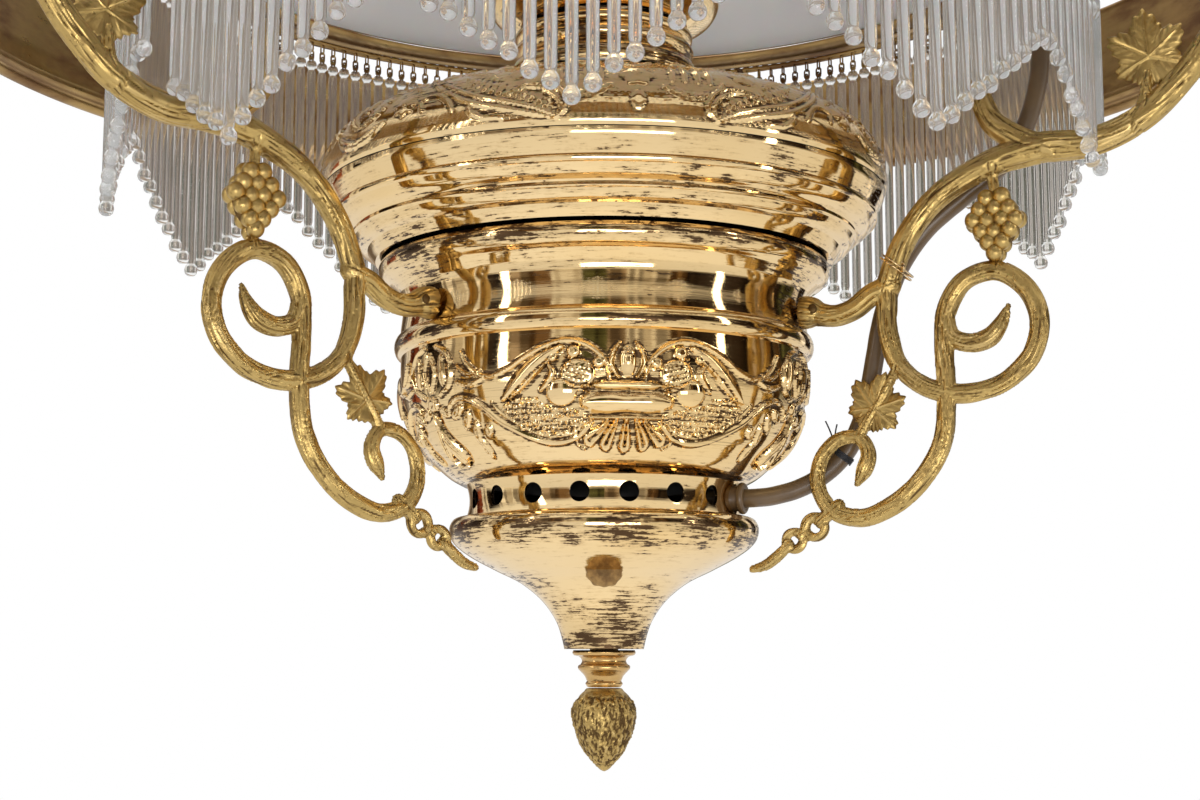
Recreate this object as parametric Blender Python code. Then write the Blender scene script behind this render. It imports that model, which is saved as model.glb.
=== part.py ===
"""Hanging oil lamp: brass vase and font on three cast vine arms, under a ring with a glass-rod fringe.

Metres, +Z up. The origin is the middle of the ceiling plate's flat top face. Heights named or listed
in millimetres are measured up from the foot of the finial's collar, which hangs DROP below the ceiling.
"""
import math

import bmesh
import bpy
from mathutils import Matrix, Vector

MM = 0.001
GAP = 0.3                    # mm left between pieces that touch
DROP = 700.0                 # mm from the ceiling down to the foot of the finial's collar
SHEET = 1.2                  # mm thickness of the spun brass
TURN_STEPS = 20              # facets round a turned piece
ARM_ANGLES = {"left": 218.0, "right": 338.0, "rear": 98.0}    # degrees round Z from +X

RING_R = 245.0               # outside of the outer ring
RING_LOW = 227.0
RING_HIGH = 274.0
RING_INSIDE = 241.2          # clear radius inside the ring, less a fitting gap
CARRIER_R = 171.0            # middle of the ring that carries the shade and the fringe

SCALLOPS = 10
HALF_SCALLOP = 180.0 / SCALLOPS
SCALLOP_PHASE = 15.0         # degrees, middle of the first scallop
RODS = 19                    # rods in one scallop
ROD_W = 3.8
STRIP_H = 3.0                # height of the wire strip that the rods hang from
ROD_TOP = 260.5
ROD_LONG = 146.0             # height of the longest rods' ends, at a scallop's middle
ROD_SHORT = 185.0            # height of the shortest rods' ends, between scallops
ROD_PIVOT_R = 167.5

VASE_R = 71.3                # plain band that the arms are screwed to
PAD_Z = 116.0
GALLERY_R = 47.8
HOLES = 18
HOLE_R = 3.3
CABLE_R = 3.2
CABLE_HOLE_ANGLE = 340.0
CABLE_HOLE_R = 5.2

CROWN_Z = 566.0              # underside of the crown
CROWN_R = 40.0
EYE_Z = 612.0                # pivot of the crown's eye in the hanging link
HOOK_Z = 641.0               # pivot of the hanging link on the ceiling hook
LINK_WIRE = 2.0

MATERIALS = {
    "polished_brass": ((0.83, 0.60, 0.24), 0.16, 1.0),
    "cast_brass": ((0.46, 0.34, 0.13), 0.42, 1.0),
    "dull_brass": ((0.38, 0.25, 0.12), 0.45, 1.0),
    "clear_glass": ((0.93, 0.95, 0.95), 0.05, 0.0),
    "opal_glass": ((0.93, 0.93, 0.92), 0.2, 0.0),
    "braid": ((0.34, 0.22, 0.14), 0.85, 0.0),
    "cable": ((0.16, 0.10, 0.05), 0.5, 0.0),
    "insulator": ((0.86, 0.84, 0.80), 0.3, 0.0),
    "thread": ((0.03, 0.03, 0.03), 0.8, 0.0),
    "steel": ((0.55, 0.55, 0.56), 0.35, 1.0),
}


def clear_scene():
    for obj in list(bpy.data.objects):
        bpy.data.objects.remove(obj, do_unlink=True)


def material(name):
    found = bpy.data.materials.get(name)
    if found:
        return found
    colour, roughness, metallic = MATERIALS[name]
    made = bpy.data.materials.new(name)
    made.use_nodes = True
    shader = made.node_tree.nodes["Principled BSDF"]
    shader.inputs["Base Color"].default_value = (*colour, 1.0)
    shader.inputs["Roughness"].default_value = roughness
    shader.inputs["Metallic"].default_value = metallic
    return made


def world_z(height):
    return (height - DROP) * MM


def polar(r, height, angle, side=0.0):
    """A point r mm from the lamp's axis at an angle in degrees, moved sideways by side mm."""
    turn = math.radians(angle)
    out = Vector((math.cos(turn), math.sin(turn), 0.0))
    across = Vector((-math.sin(turn), math.cos(turn), 0.0))
    point = out * (r * MM) + across * (side * MM)
    point.z = world_z(height)
    return point


def empty(name, location):
    pivot = bpy.data.objects.new(name, None)
    pivot.location = location
    bpy.context.scene.collection.objects.link(pivot)
    return pivot


def new_object(name, bm, finish, smooth=True):
    bmesh.ops.recalc_face_normals(bm, faces=bm.faces)
    mesh = bpy.data.meshes.new(name)
    bm.to_mesh(mesh)
    bm.free()
    obj = bpy.data.objects.new(name, mesh)
    bpy.context.scene.collection.objects.link(obj)
    mesh.materials.append(material(finish))
    if smooth:
        mesh.shade_smooth()
        mesh.set_sharp_from_angle(angle=math.radians(35))
    return obj


def smooth_path(points, per_span=2):
    """Catmull-Rom curve through the points; each point may carry extra values such as a radius."""
    ends = [points[0]] + list(points) + [points[-1]]
    path = []
    for i in range(1, len(ends) - 2):
        before, here, there, after = ends[i - 1:i + 3]
        for step in range(per_span):
            t = step / per_span
            path.append(tuple(
                0.5 * (2 * b + (c - a) * t + (2 * a - 5 * b + 4 * c - d) * t * t
                       + (3 * b - a - 3 * c + d) * t * t * t)
                for a, b, c, d in zip(before, here, there, after)))
    path.append(tuple(points[-1]))
    return path


def add_turned(bm, outline, steps=TURN_STEPS, closed=True):
    """Spin an outline of (radius, height) points round Z; an open one starts and ends on the axis."""
    verts = [bm.verts.new((r * MM, 0.0, world_z(z))) for r, z in outline]
    pairs = list(zip(verts, verts[1:]))
    if closed:
        pairs.append((verts[-1], verts[0]))
    edges = [bm.edges.new(pair) for pair in pairs]
    bmesh.ops.spin(bm, geom=verts + edges, cent=(0, 0, 0), axis=(0, 0, 1), angle=2 * math.pi,
                   steps=steps, use_merge=True, use_duplicate=False)
    bmesh.ops.remove_doubles(bm, verts=bm.verts, dist=0.00001)


def turned(name, outline, finish, steps=TURN_STEPS, closed=True):
    bm = bmesh.new()
    add_turned(bm, outline, steps, closed)
    return new_object(name, bm, finish)


def walled(outer, wall=SHEET, plain=None):
    """Close an outer outline, listed from top to bottom, with an offset of it to the inside.

    The inside leaves out the outline's points that plain numbers, or else every second one.
    """
    inner = []
    last = len(outer) - 1
    left_out = range(1, last, 2) if plain is None else plain
    for i, (r, z) in enumerate(outer):
        if i in left_out:
            continue
        before = Vector(outer[max(i - 1, 0)])
        after = Vector(outer[min(i + 1, last)])
        along = (after - before).normalized()
        inner.append((r + along.y * wall, z - along.x * wall))
    return list(outer) + inner[::-1]


def add_tube(bm, points, radii, sides=6):
    """Sweep a round section along the points; radii is one number or one for each point."""
    count = len(points)
    if isinstance(radii, (int, float)):
        radii = [radii] * count
    side = None
    rings = []
    for i, point in enumerate(points):
        along = (points[min(i + 1, count - 1)] - points[max(i - 1, 0)]).normalized()
        if side is None:
            start = Vector((0, 0, 1)) if abs(along.z) < 0.9 else Vector((1, 0, 0))
            side = start.cross(along)
        side = (side - along * side.dot(along)).normalized()
        other = along.cross(side)
        ring = []
        for k in range(sides):
            turn = 2 * math.pi * k / sides
            offset = side * math.cos(turn) + other * math.sin(turn)
            ring.append(bm.verts.new(point + offset * (radii[i] * MM)))
        rings.append(ring)
    for ring, after in zip(rings, rings[1:]):
        for k in range(sides):
            bm.faces.new((ring[k], ring[(k + 1) % sides], after[(k + 1) % sides], after[k]))
    bm.faces.new(rings[0][::-1])
    bm.faces.new(rings[-1])


def add_loop(bm, points, radius, sides=6):
    """Sweep a round section along a closed flat loop of points."""
    middle = sum(points, Vector()) / len(points)
    normal = (points[0] - middle).cross(points[1] - middle).normalized()
    count = len(points)
    rings = []
    for i, point in enumerate(points):
        along = (points[(i + 1) % count] - points[i - 1]).normalized()
        out = along.cross(normal)
        ring = []
        for k in range(sides):
            turn = 2 * math.pi * k / sides
            offset = out * math.cos(turn) + normal * math.sin(turn)
            ring.append(bm.verts.new(point + offset * (radius * MM)))
        rings.append(ring)
    for i in range(count):
        ring, after = rings[i], rings[(i + 1) % count]
        for k in range(sides):
            bm.faces.new((ring[k], ring[(k + 1) % sides], after[(k + 1) % sides], after[k]))


def add_prism(bm, outline, low, high, matrix):
    """Extrude a flat outline (local x, y in mm) from low to high along local z, then place it."""
    floor = [bm.verts.new(matrix @ Vector((x * MM, y * MM, low * MM))) for x, y in outline]
    top = [bm.verts.new(matrix @ Vector((x * MM, y * MM, high * MM))) for x, y in outline]
    count = len(outline)
    for i in range(count):
        j = (i + 1) % count
        bm.faces.new((floor[i], floor[j], top[j], top[i]))
    bm.faces.new(floor[::-1])
    bm.faces.new(top)


def circle(radius, sides, start=0.0):
    return [(radius * math.cos(start + 2 * math.pi * k / sides),
             radius * math.sin(start + 2 * math.pi * k / sides)) for k in range(sides)]


def radial_frame(r, height, angle, side=0.0):
    """A frame whose local z points away from the lamp's axis, local x sideways and local y up."""
    turn = math.radians(angle)
    out = Vector((math.cos(turn), math.sin(turn), 0.0))
    across = Vector((-math.sin(turn), math.cos(turn), 0.0))
    frame = Matrix((across, Vector((0, 0, 1)), out)).transposed().to_4x4()
    frame.translation = polar(r, height, angle, side)
    return frame


def plane_frame(r, height, angle):
    """A frame in an arm's plane: local x away from the axis, local y up, local z sideways."""
    turn = math.radians(angle)
    out = Vector((math.cos(turn), math.sin(turn), 0.0))
    across = out.cross(Vector((0, 0, 1)))
    frame = Matrix((out, Vector((0, 0, 1)), across)).transposed().to_4x4()
    frame.translation = polar(r, height, angle)
    return frame


def level_frame(height, x=0.0, y=0.0):
    return Matrix.Translation((x * MM, y * MM, world_z(height)))


def evaluated(obj):
    graph = bpy.context.evaluated_depsgraph_get()
    return bpy.data.meshes.new_from_object(obj.evaluated_get(graph))


def united(name, solids, finish):
    """Join overlapping solids into one body; each entry of solids is a filled bmesh."""
    objects = [new_object(f"{name}_piece_{i}", bm, finish, smooth=False) for i, bm in enumerate(solids)]
    base = objects[0]
    for other in objects[1:]:
        join = base.modifiers.new("join", "BOOLEAN")
        join.operation = "UNION"
        join.object = other
    mesh = evaluated(base)
    mesh.name = name
    for obj in objects:
        bpy.data.objects.remove(obj, do_unlink=True)
    result = bpy.data.objects.new(name, mesh)
    bpy.context.scene.collection.objects.link(result)
    mesh.shade_smooth()
    mesh.set_sharp_from_angle(angle=math.radians(50))
    return result


def cut(obj, name, add_shapes):
    """Cut a hidden solid, filled by add_shapes, out of an object."""
    bm = bmesh.new()
    add_shapes(bm)
    cutter = new_object(name, bm, "steel", smooth=False)
    cutter.hide_render = True
    cutter.display_type = "WIRE"
    trim = obj.modifiers.new("cut", "BOOLEAN")
    trim.operation = "DIFFERENCE"
    trim.object = cutter
    return cutter


# ---------------------------------------------------------------- font, cup and bulb

FONT_TOP = [(30.6, 203.2), (45, 196.3), (60, 192.2), (74, 188.6), (84.7, 184.9), (92.6, 180.2),
            (97.2, 174.2), (99.5, 167.5), (99.4, 161.3)]
FONT_BOTTOM = [(98.8, 161), (97.4, 156.8), (94.9, 151.8), (94.5, 149.8), (88.2, 146.2), (87.5, 143.8),
               (82.4, 140), (80.4, 137.2), (67.4, 136.9), (66.6, 128), (62, 108), (50, 90), (30, 80),
               (9, 77.5)]
NECK = [(30, 222), (31.8, 220), (30.2, 217.5), (32.2, 214.5), (30.8, 211.5), (33, 208), (32.4, 203.9)]
CUP = [(43.5, 243), (42.2, 240), (41, 231), (36, 226), (30, 223.4), (7.3, 223.4)]


def make_font():
    turned("font_top", walled(FONT_TOP), "polished_brass")
    turned("font_bottom", walled(FONT_BOTTOM), "polished_brass")
    turned("font_neck", walled(NECK), "polished_brass", 16)
    turned("burner_cup", walled(CUP), "dull_brass", 16)


def make_lampholder():
    turned("holder_stem", [(5, 224), (7, 224), (7, 246.5), (5, 246.5)], "dull_brass", 12)
    turned("lampholder", [(7.3, 247), (19, 247), (19, 286), (17.4, 286), (17.4, 249), (7.3, 249)],
           "dull_brass", 20)
    turned("holder_insulator",
           [(19.3, 279), (21.5, 279), (21.5, 290), (15.5, 290), (15.5, 286.4), (19.3, 286.4)],
           "insulator", 20)


BULB_CAP = [(0, 258), (5, 258.4), (13, 263), (13, 285.5), (0, 285.5)]
BULB_GLASS = [(0, 286), (12.5, 286), (14, 296), (22, 310), (28, 322), (30, 334), (28, 346), (21, 357),
              (11, 363), (0, 364)]


def make_bulb():
    pivot = empty("bulb_axis", (0, 0, world_z(272)))
    for name, outline, finish, steps in (("bulb_cap", BULB_CAP, "steel", 16),
                                         ("bulb_glass", BULB_GLASS, "clear_glass", 20)):
        obj = turned(name, outline, finish, steps, closed=False)
        hang_from(obj, pivot)


def hang_from(obj, pivot):
    """Parent an object, whose mesh is in world space, to a pivot without moving it."""
    obj.parent = pivot
    obj.location = -pivot.location


# ---------------------------------------------------------------- vase, gallery, funnel, finial

VASE = [(78.5, 136.2), (78.7, 131), (75, 128.6), (71.4, 125.5), (VASE_R, 111), (73, 108.4), (73, 105.4),
        (71, 103.2), (70.6, 91), (67.4, 78), (64, 71.6), (58.2, 65.9), (53, 60.8), (49.2, 59.5),
        (6.5, 59.5)]
FUNNEL = [(10, 48.3), (49, 48.3), (53.5, 45.2), (52.6, 40.2), (47, 35.3), (38, 30.4), (28, 25.3),
          (20.4, 18.6), (16.2, 12), (13.7, 3.3), (5.4, 3.3)]
COLLAR = [(0, -7.2), (5.2, -7.2), (5.2, 2.9), (10.6, 2.9), (10.4, 1.2), (7.6, -0.6), (8.5, -2.6),
          (8.2, -4.4), (6, -7.4), (5.7, -9.7), (0, -9.7)]
ACORN = [(0, -10), (6.2, -10), (8.6, -12.4), (11.1, -15.6), (11.4, -19), (10.2, -24.4), (8.2, -29.4),
         (5.4, -33.6), (2.2, -36.8), (0, -38.2)]


def make_vase():
    vase = turned("vase_shell", walled(VASE, plain=(1, 5, 6, 9, 11)), "polished_brass")

    def screw_holes(bm):
        for angle in ARM_ANGLES.values():
            add_prism(bm, circle(2.4, 8), -8, 6, radial_frame(VASE_R, PAD_Z, angle))

    cut(vase, "vase_hole_cutter", screw_holes)


def make_gallery():
    wall = [(GALLERY_R, 59.0), (GALLERY_R, 48.7), (GALLERY_R - SHEET, 48.7), (GALLERY_R - SHEET, 59.0)]
    gallery = turned("air_gallery", wall, "polished_brass", 18)

    def air_holes(bm):
        for k in range(HOLES):
            angle = CABLE_HOLE_ANGLE + k * 360.0 / HOLES
            radius = CABLE_HOLE_R if k == 0 else HOLE_R
            add_prism(bm, circle(radius, 6), -4, 4, radial_frame(GALLERY_R, 53.9, angle))

    cut(gallery, "gallery_hole_cutter", air_holes)


def make_funnel():
    turned("funnel", walled(FUNNEL, 1.0), "polished_brass")
    turned("finial_collar", COLLAR, "polished_brass", 20, closed=False)
    turned("finial_acorn", ACORN, "cast_brass", 16, closed=False)
    plug = bmesh.new()
    lean = radial_frame(34.2, 28.4, 270) @ Matrix.Rotation(math.radians(63), 4, "X")
    add_prism(plug, circle(6, 12), 0.6, 1.4, lean)
    new_object("funnel_plug", plug, "dull_brass")


def make_centre_tube():
    turned("centre_tube", [(4.9, -6.9), (4.9, 76), (3.9, 76), (3.9, -6.9)], "dull_brass", 12)
    nut = bmesh.new()
    add_prism(nut, circle(9, 6), 0, 5, level_frame(61.1))
    nut_body = new_object("tube_nut", nut, "dull_brass")

    def bore(bm):
        add_prism(bm, circle(5.3, 12), -2, 7, level_frame(61.1))

    cut(nut_body, "nut_bore_cutter", bore)


# ---------------------------------------------------------------- vine arms

# Centre lines of an arm in its own plane: distance from the lamp's axis, height, radius of the bar (mm).
BRANCH = [(101, 121, 3.2), (107.5, 137, 3.3), (119, 151.5, 3.4), (136, 161, 4), (152, 165, 4.4),
          (170, 165.5, 4), (186, 172, 3.7), (199, 184, 3.6), (211, 200, 3.5), (223, 218, 3.5),
          (233, 234, 3.4), (238.6, 243, 3.4)]
PAD_BRANCH = [(103, 123, 3), (97, 120.8, 3.1), (90, 116, 3.1), (83, 114.2, 3.2), (75.5, 115.6, 3.8)]
BIG_LOOP = [(101.5, 120, 3), (101.8, 107, 2.8), (105.5, 96, 2.7), (114.5, 88.2, 2.7), (127, 85.6, 2.7),
            (139.5, 88.6, 2.7), (148.5, 97, 2.7), (151.5, 108, 2.7), (147.6, 119, 2.7), (138, 125.6, 2.7),
            (127.5, 122.8, 2.8), (121.6, 114, 2.8), (120.4, 103, 2.7), (120.4, 95, 2.6)]
STEM = [(120.4, 98, 2.6), (120.8, 84, 2.7), (118.6, 69, 2.7), (111.5, 57.5, 2.7), (101, 49.2, 2.7),
        (90, 46, 2.6), (81, 49.3, 2.3), (76.8, 57.5, 2.1), (78.6, 66.8, 2), (85, 72.6, 1.9),
        (91.6, 72.4, 1.9), (94.3, 67, 2.1), (92.6, 61.5, 2.2), (90.3, 57.2, 0.8)]
HOOK = [(121.4, 111, 2.3), (123, 104.6, 2.5), (129, 102.2, 2.6), (135.6, 104, 2.7), (139.4, 108.6, 1.9),
        (141.6, 113.8, 0.7)]
TAIL = [(66.8, 37.6, 1.6), (62, 33.6, 1.6), (57.8, 30.8, 1.4), (53.8, 29.8, 1)]
STUB = [(156, 164.5, 3.6), (146, 169, 3.6), (137.5, 176.5, 3.4), (134.3, 185.5, 3), (135.8, 196.3, 3)]
LEAF_STALK = [(183, 170, 1.8), (186.5, 177, 1.6), (188, 186, 1.4)]
LEAF_RIB = [(91, 72.6, 1.6), (96.6, 82, 1.5), (105, 96, 1.5)]
EYE_RIB = [(84, 50.5, 1.8), (77.5, 45, 1.8)]
GRAPE_STALK = [(137.6, 161, 1.5), (138.2, 149, 1.4), (138.2, 126, 1.4)]
EYES = [(75.8, 43.3, 3.4, 1.6), (68.4, 39, 3, 1.5)]          # middle, radius and wire of the two small rings
GRAPE_MIDDLE = (138.2, 141)
GRAPE_REACH = (9.6, 12.4, 5.5)                                   # half sizes of the bunch of grapes
LEAVES = [(96.6, 82, 12.5, 70), (188.6, 191.5, 14, 95)]        # hub, reach, and the middle lobe's direction


def leaf_outline(reach, direction, steps=10):
    """A vine leaf with five lobes, as points round its hub."""
    points = []
    for k in range(steps):
        turn = 2 * math.pi * k / steps
        lobe = abs(math.cos(2.5 * turn))
        size = reach * (0.6 + 0.4 * lobe) * (0.84 + 0.16 * math.cos(turn))
        angle = turn + math.radians(direction)
        points.append((size * math.cos(angle), size * math.sin(angle)))
    return points


def arm_bar(line, angle, sides=5, per_span=1):
    path = smooth_path(line, per_span)
    bm = bmesh.new()
    add_tube(bm, [polar(r, z, angle) for r, z, _ in path], [w for _, _, w in path], sides)
    return bm


def arm_solids(angle):
    solids = [arm_bar(BRANCH, angle, 6)]
    for line in (PAD_BRANCH, BIG_LOOP, STEM, HOOK, TAIL, STUB):
        solids.append(arm_bar(line, angle))
    for line in (LEAF_STALK, LEAF_RIB, EYE_RIB, GRAPE_STALK):
        solids.append(arm_bar(line, angle, 4))
    for r, z, radius, wire in EYES:
        bm = bmesh.new()
        frame = plane_frame(r, z, angle)
        add_loop(bm, [frame @ Vector((x * MM, y * MM, 0)) for x, y in circle(radius, 8)], wire, 4)
        solids.append(bm)
    for r, z, reach, direction in LEAVES:
        bm = bmesh.new()
        add_prism(bm, leaf_outline(reach, direction), -1.1, 1.1, plane_frame(r, z, angle))
        solids.append(bm)
    grapes = bmesh.new()
    bunch = plane_frame(*GRAPE_MIDDLE, angle) @ Matrix.Diagonal((*GRAPE_REACH, 1.0))
    bmesh.ops.create_icosphere(grapes, subdivisions=2, radius=MM, matrix=bunch)
    solids.append(grapes)
    pad = bmesh.new()
    add_prism(pad, circle(5.3, 12), 0, 6.4, radial_frame(VASE_R + 0.9, PAD_Z, angle))
    solids.append(pad)
    foot = bmesh.new()
    add_prism(foot, circle(6, 10), -3, 0, radial_frame(RING_INSIDE, 244, angle))
    solids.append(foot)
    return solids


def make_arms():
    """The three arms are one casting, turned about the lamp's axis."""
    casting = united("arm_casting", arm_solids(0.0), "cast_brass")

    def screw_hole(bm):
        add_prism(bm, circle(2.4, 10), -2, 5.6, radial_frame(VASE_R, PAD_Z, 0.0))

    cutter = cut(casting, "pad_hole_cutter", screw_hole)
    mesh = evaluated(casting)
    for spent in (casting, cutter):
        bpy.data.objects.remove(spent, do_unlink=True)
    for side, angle in ARM_ANGLES.items():
        arm = bpy.data.objects.new(f"vine_arm_{side}", mesh)
        arm.rotation_euler.z = math.radians(angle)
        bpy.context.scene.collection.objects.link(arm)


def add_lathed(bm, outline, frame, sides, closed):
    """Turn an outline of (radius, distance along local z) about a frame's z axis."""
    rings = [[bm.verts.new(frame @ Vector((x * MM, y * MM, along * MM))) for x, y in circle(radius, sides)]
             for radius, along in outline]
    pairs = list(zip(rings, rings[1:]))
    if closed:
        pairs.append((rings[-1], rings[0]))
    for ring, after in pairs:
        for k in range(sides):
            bm.faces.new((ring[k], ring[(k + 1) % sides], after[(k + 1) % sides], after[k]))
    if not closed:
        bm.faces.new(rings[0][::-1])
        bm.faces.new(rings[-1])


# A screw's head is inside the vase, and its shank runs into the arm's pad.
SCREW = [(3.2, -4.8), (3.9, -3.8), (3.9, -2.6), (2.0, -2.6), (2.0, 5.2)]


def make_arm_screws():
    for number, angle in enumerate(ARM_ANGLES.values(), start=1):
        screw = bmesh.new()
        add_lathed(screw, SCREW, radial_frame(VASE_R, PAD_Z, angle), 10, closed=False)
        new_object(f"arm_screw_{number}", screw, "steel")


# ---------------------------------------------------------------- ring, carrier, shade and fringe

RING = [(242.6, RING_HIGH), (RING_R, RING_HIGH), (RING_R, 231.6), (246.6, 229.4), (244, RING_LOW),
        (241, 229.4), (242.6, 231.6)]
CARRIER = [(176, 269), (176, 262), (158, 262), (158, 263.6), (174.2, 263.6), (174.2, 269)]
BRAID = [(176.3, 267.6), (178.8, 267.6), (178.8, 260), (176.3, 260)]
SHADE = [(34, 412), (36, 406), (42, 402.5), (66, 396), (98, 380), (128, 352), (149, 318), (161, 288),
         (165.5, 264.7)]


def make_ring():
    turned("outer_ring", RING, "dull_brass", 40)


def make_carrier():
    body = bmesh.new()
    add_turned(body, CARRIER, 36)
    solids = [body]
    for angle in ARM_ANGLES.values():
        spoke = bmesh.new()
        add_prism(spoke, [(-4, -1.9), (4, -1.9), (4, 1.9), (-4, 1.9)], -67, 0,
                  radial_frame(RING_INSIDE, 270.3, angle))
        solids.append(spoke)
    united("shade_carrier", solids, "dull_brass")
    turned("braid_trim", BRAID, "braid", 36)


def make_shade():
    turned("opal_shade", walled(SHADE, 3.0), "opal_glass", 24)


def rod_end(offset, angle):
    """Height of the lower end of the rod that hangs at an angle, offset degrees from its scallop's middle."""
    height = ROD_LONG + (ROD_SHORT - ROD_LONG) * abs(offset) / HALF_SCALLOP
    for side, arm_angle in ARM_ANGLES.items():
        beside = (angle - arm_angle + 180.0) % 360.0 - 180.0
        if side == "right" and 1.5 < beside < 5.5:
            return None                                        # the cable passes between the rods here
        if abs(beside) < 2.3:
            height = 207.0                                     # ends above the arm and its upper leaf
    return height


def add_comb(bm, middle):
    """One scallop: a wire strip bent round the carrier ring, with its square rods growing down from it."""
    step = 360.0 / SCALLOPS / RODS
    half = math.degrees(ROD_W / 2 / CARRIER_R)
    columns = []
    for k in range(RODS):
        angle = middle + (k - (RODS - 1) / 2) * step
        low = rod_end(angle - middle, angle)
        heights = [ROD_TOP, ROD_TOP - STRIP_H] + ([] if low is None else [low])
        for side in (-half, half):
            columns.append([[bm.verts.new(polar(CARRIER_R + out, z, angle + side))
                             for out in (-ROD_W / 2, ROD_W / 2)] for z in heights])
    for i, (here, there) in enumerate(zip(columns, columns[1:])):
        rows = len(here) if i % 2 == 0 else 2
        for row in range(rows - 1):
            for out in (0, 1):
                bm.faces.new((here[row][out], there[row][out], there[row + 1][out], here[row + 1][out]))
        for row in (0, rows - 1):
            bm.faces.new((here[row][0], here[row][1], there[row][1], there[row][0]))
        if rows == 3:
            for column in (here, there):
                bm.faces.new((column[1][0], column[1][1], column[2][1], column[2][0]))
    for column in (columns[0], columns[-1]):
        bm.faces.new((column[0][0], column[0][1], column[1][1], column[1][0]))


def make_fringe():
    for scallop in range(SCALLOPS):
        middle = SCALLOP_PHASE + scallop * 360.0 / SCALLOPS
        pivot = empty(f"fringe_axis_{scallop + 1:02d}", polar(ROD_PIVOT_R, ROD_TOP, middle))
        bm = bmesh.new()
        add_comb(bm, middle)
        hang_from(new_object(f"fringe_{scallop + 1:02d}", bm, "clear_glass", smooth=False), pivot)


# ---------------------------------------------------------------- chains, crown, link, hook and ceiling plate

CHAIN_LOW = (243.6, 282.0)   # middles of the eyes at a chain's two ends
CHAIN_HIGH = (34.0, 559.2)
LINKS = 11
LINK_HALF = 16.3             # so that neighbours bed into each other and the chain is one body
LINK_HALF_W = 5.2
CHAIN_WIRE = 1.3
CHAIN_EYE_R = 5.0
CHAIN_EYE_WIRE = 1.4
CROWN = [(3.4, 575), (12, 575), (18, 572.4), (30, 571), (CROWN_R, 569.5), (CROWN_R, CROWN_Z),
         (3.4, CROWN_Z)]
CANOPY = [(56, 699.7), (55.4, 694), (50, 686), (36, 680), (20, 676.6), (7, 675)]
HOOK_PATH = [(0, 695.4), (0, 680), (0, 670), (6, 663.6), (10.6, 654.5), (8.4, 645), (0, 641), (-8.4, 645),
             (-11, 652.5), (-11.6, 658)]


def stadium(half_length, half_width, bend=2):
    """Points of an oval link, long along local x."""
    points = []
    for end in (1, -1):
        for k in range(bend + 1):
            turn = math.pi * k / bend - math.pi / 2
            points.append((end * (half_length - half_width + half_width * math.cos(turn)),
                           end * half_width * math.sin(turn)))
    return points


def make_chains():
    for number, angle in enumerate(ARM_ANGLES.values(), start=1):
        low = polar(*CHAIN_LOW, angle)
        high = polar(*CHAIN_HIGH, angle)
        along = (high - low).normalized()
        across = Vector((-math.sin(math.radians(angle)), math.cos(math.radians(angle)), 0.0))
        up = along.cross(across)
        inset = (CHAIN_EYE_R - CHAIN_EYE_WIRE - CHAIN_WIRE - 0.2 + LINK_HALF) * MM
        pitch = ((high - low).length - 2 * inset) / (LINKS - 1)
        halves = []
        for first, wide in ((0, across), (1, up)):
            bm = bmesh.new()
            for k in range(first, LINKS, 2):
                middle = low + along * (inset + pitch * k)
                outline = stadium(LINK_HALF, LINK_HALF_W)
                add_loop(bm, [middle + (along * x + wide * y) * MM for x, y in outline], CHAIN_WIRE, 4)
            halves.append(bm)
        united(f"chain_{number}", halves, "polished_brass")


def screw_eye(angle, middle, towards):
    """An eye in the radial plane with a shank that ends at the height towards."""
    r, z = middle
    ring = bmesh.new()
    frame = plane_frame(r, z, angle)
    outline = circle(CHAIN_EYE_R, 8)
    add_loop(ring, [frame @ Vector((x * MM, y * MM, 0)) for x, y in outline], CHAIN_EYE_WIRE, 4)
    start = z + (CHAIN_EYE_R if towards > z else -CHAIN_EYE_R)
    shank = bmesh.new()
    add_tube(shank, [polar(r, start, angle), polar(r, towards, angle)], 1.6, 6)
    return ring, shank


def make_ring_eyes():
    for number, angle in enumerate(ARM_ANGLES.values(), start=1):
        united(f"ring_eye_{number}", screw_eye(angle, CHAIN_LOW, RING_HIGH + GAP), "polished_brass")


def make_crown():
    plate = bmesh.new()
    add_turned(plate, CROWN, 20)
    solids = [plate]
    for angle in ARM_ANGLES.values():
        solids += screw_eye(angle, CHAIN_HIGH, CROWN_Z + 1)
    united("crown", solids, "polished_brass")
    eye = bmesh.new()
    radius = 8.0
    middle = EYE_Z - 2 + LINK_WIRE + 2.2 + GAP - radius
    add_loop(eye, [Vector((0, y * MM, world_z(middle + z))) for y, z in circle(radius, 12)], 2.2, 6)
    shank = bmesh.new()
    add_tube(shank, [Vector((0, 0, world_z(middle - radius))), Vector((0, 0, world_z(556)))], 3, 8)
    united("crown_eye", [eye, shank], "polished_brass")
    turned("crown_nut", [(3.8, 565.7), (7.4, 565.7), (7.4, 560.5), (3.8, 560.5)], "dull_brass", 6)


def make_hanging_link():
    pivot = empty("link_axis", (0, 0, world_z(HOOK_Z)))
    top = HOOK_Z + 3 + LINK_WIRE + GAP
    low = EYE_Z - 2
    middle = (top + low) / 2
    bm = bmesh.new()
    outline = stadium((top - low) / 2, 8.5, 5)
    add_loop(bm, [Vector((x * MM, 0, world_z(middle + z))) for z, x in outline], LINK_WIRE, 6)
    hang_from(new_object("hanging_link", bm, "polished_brass"), pivot)


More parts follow.
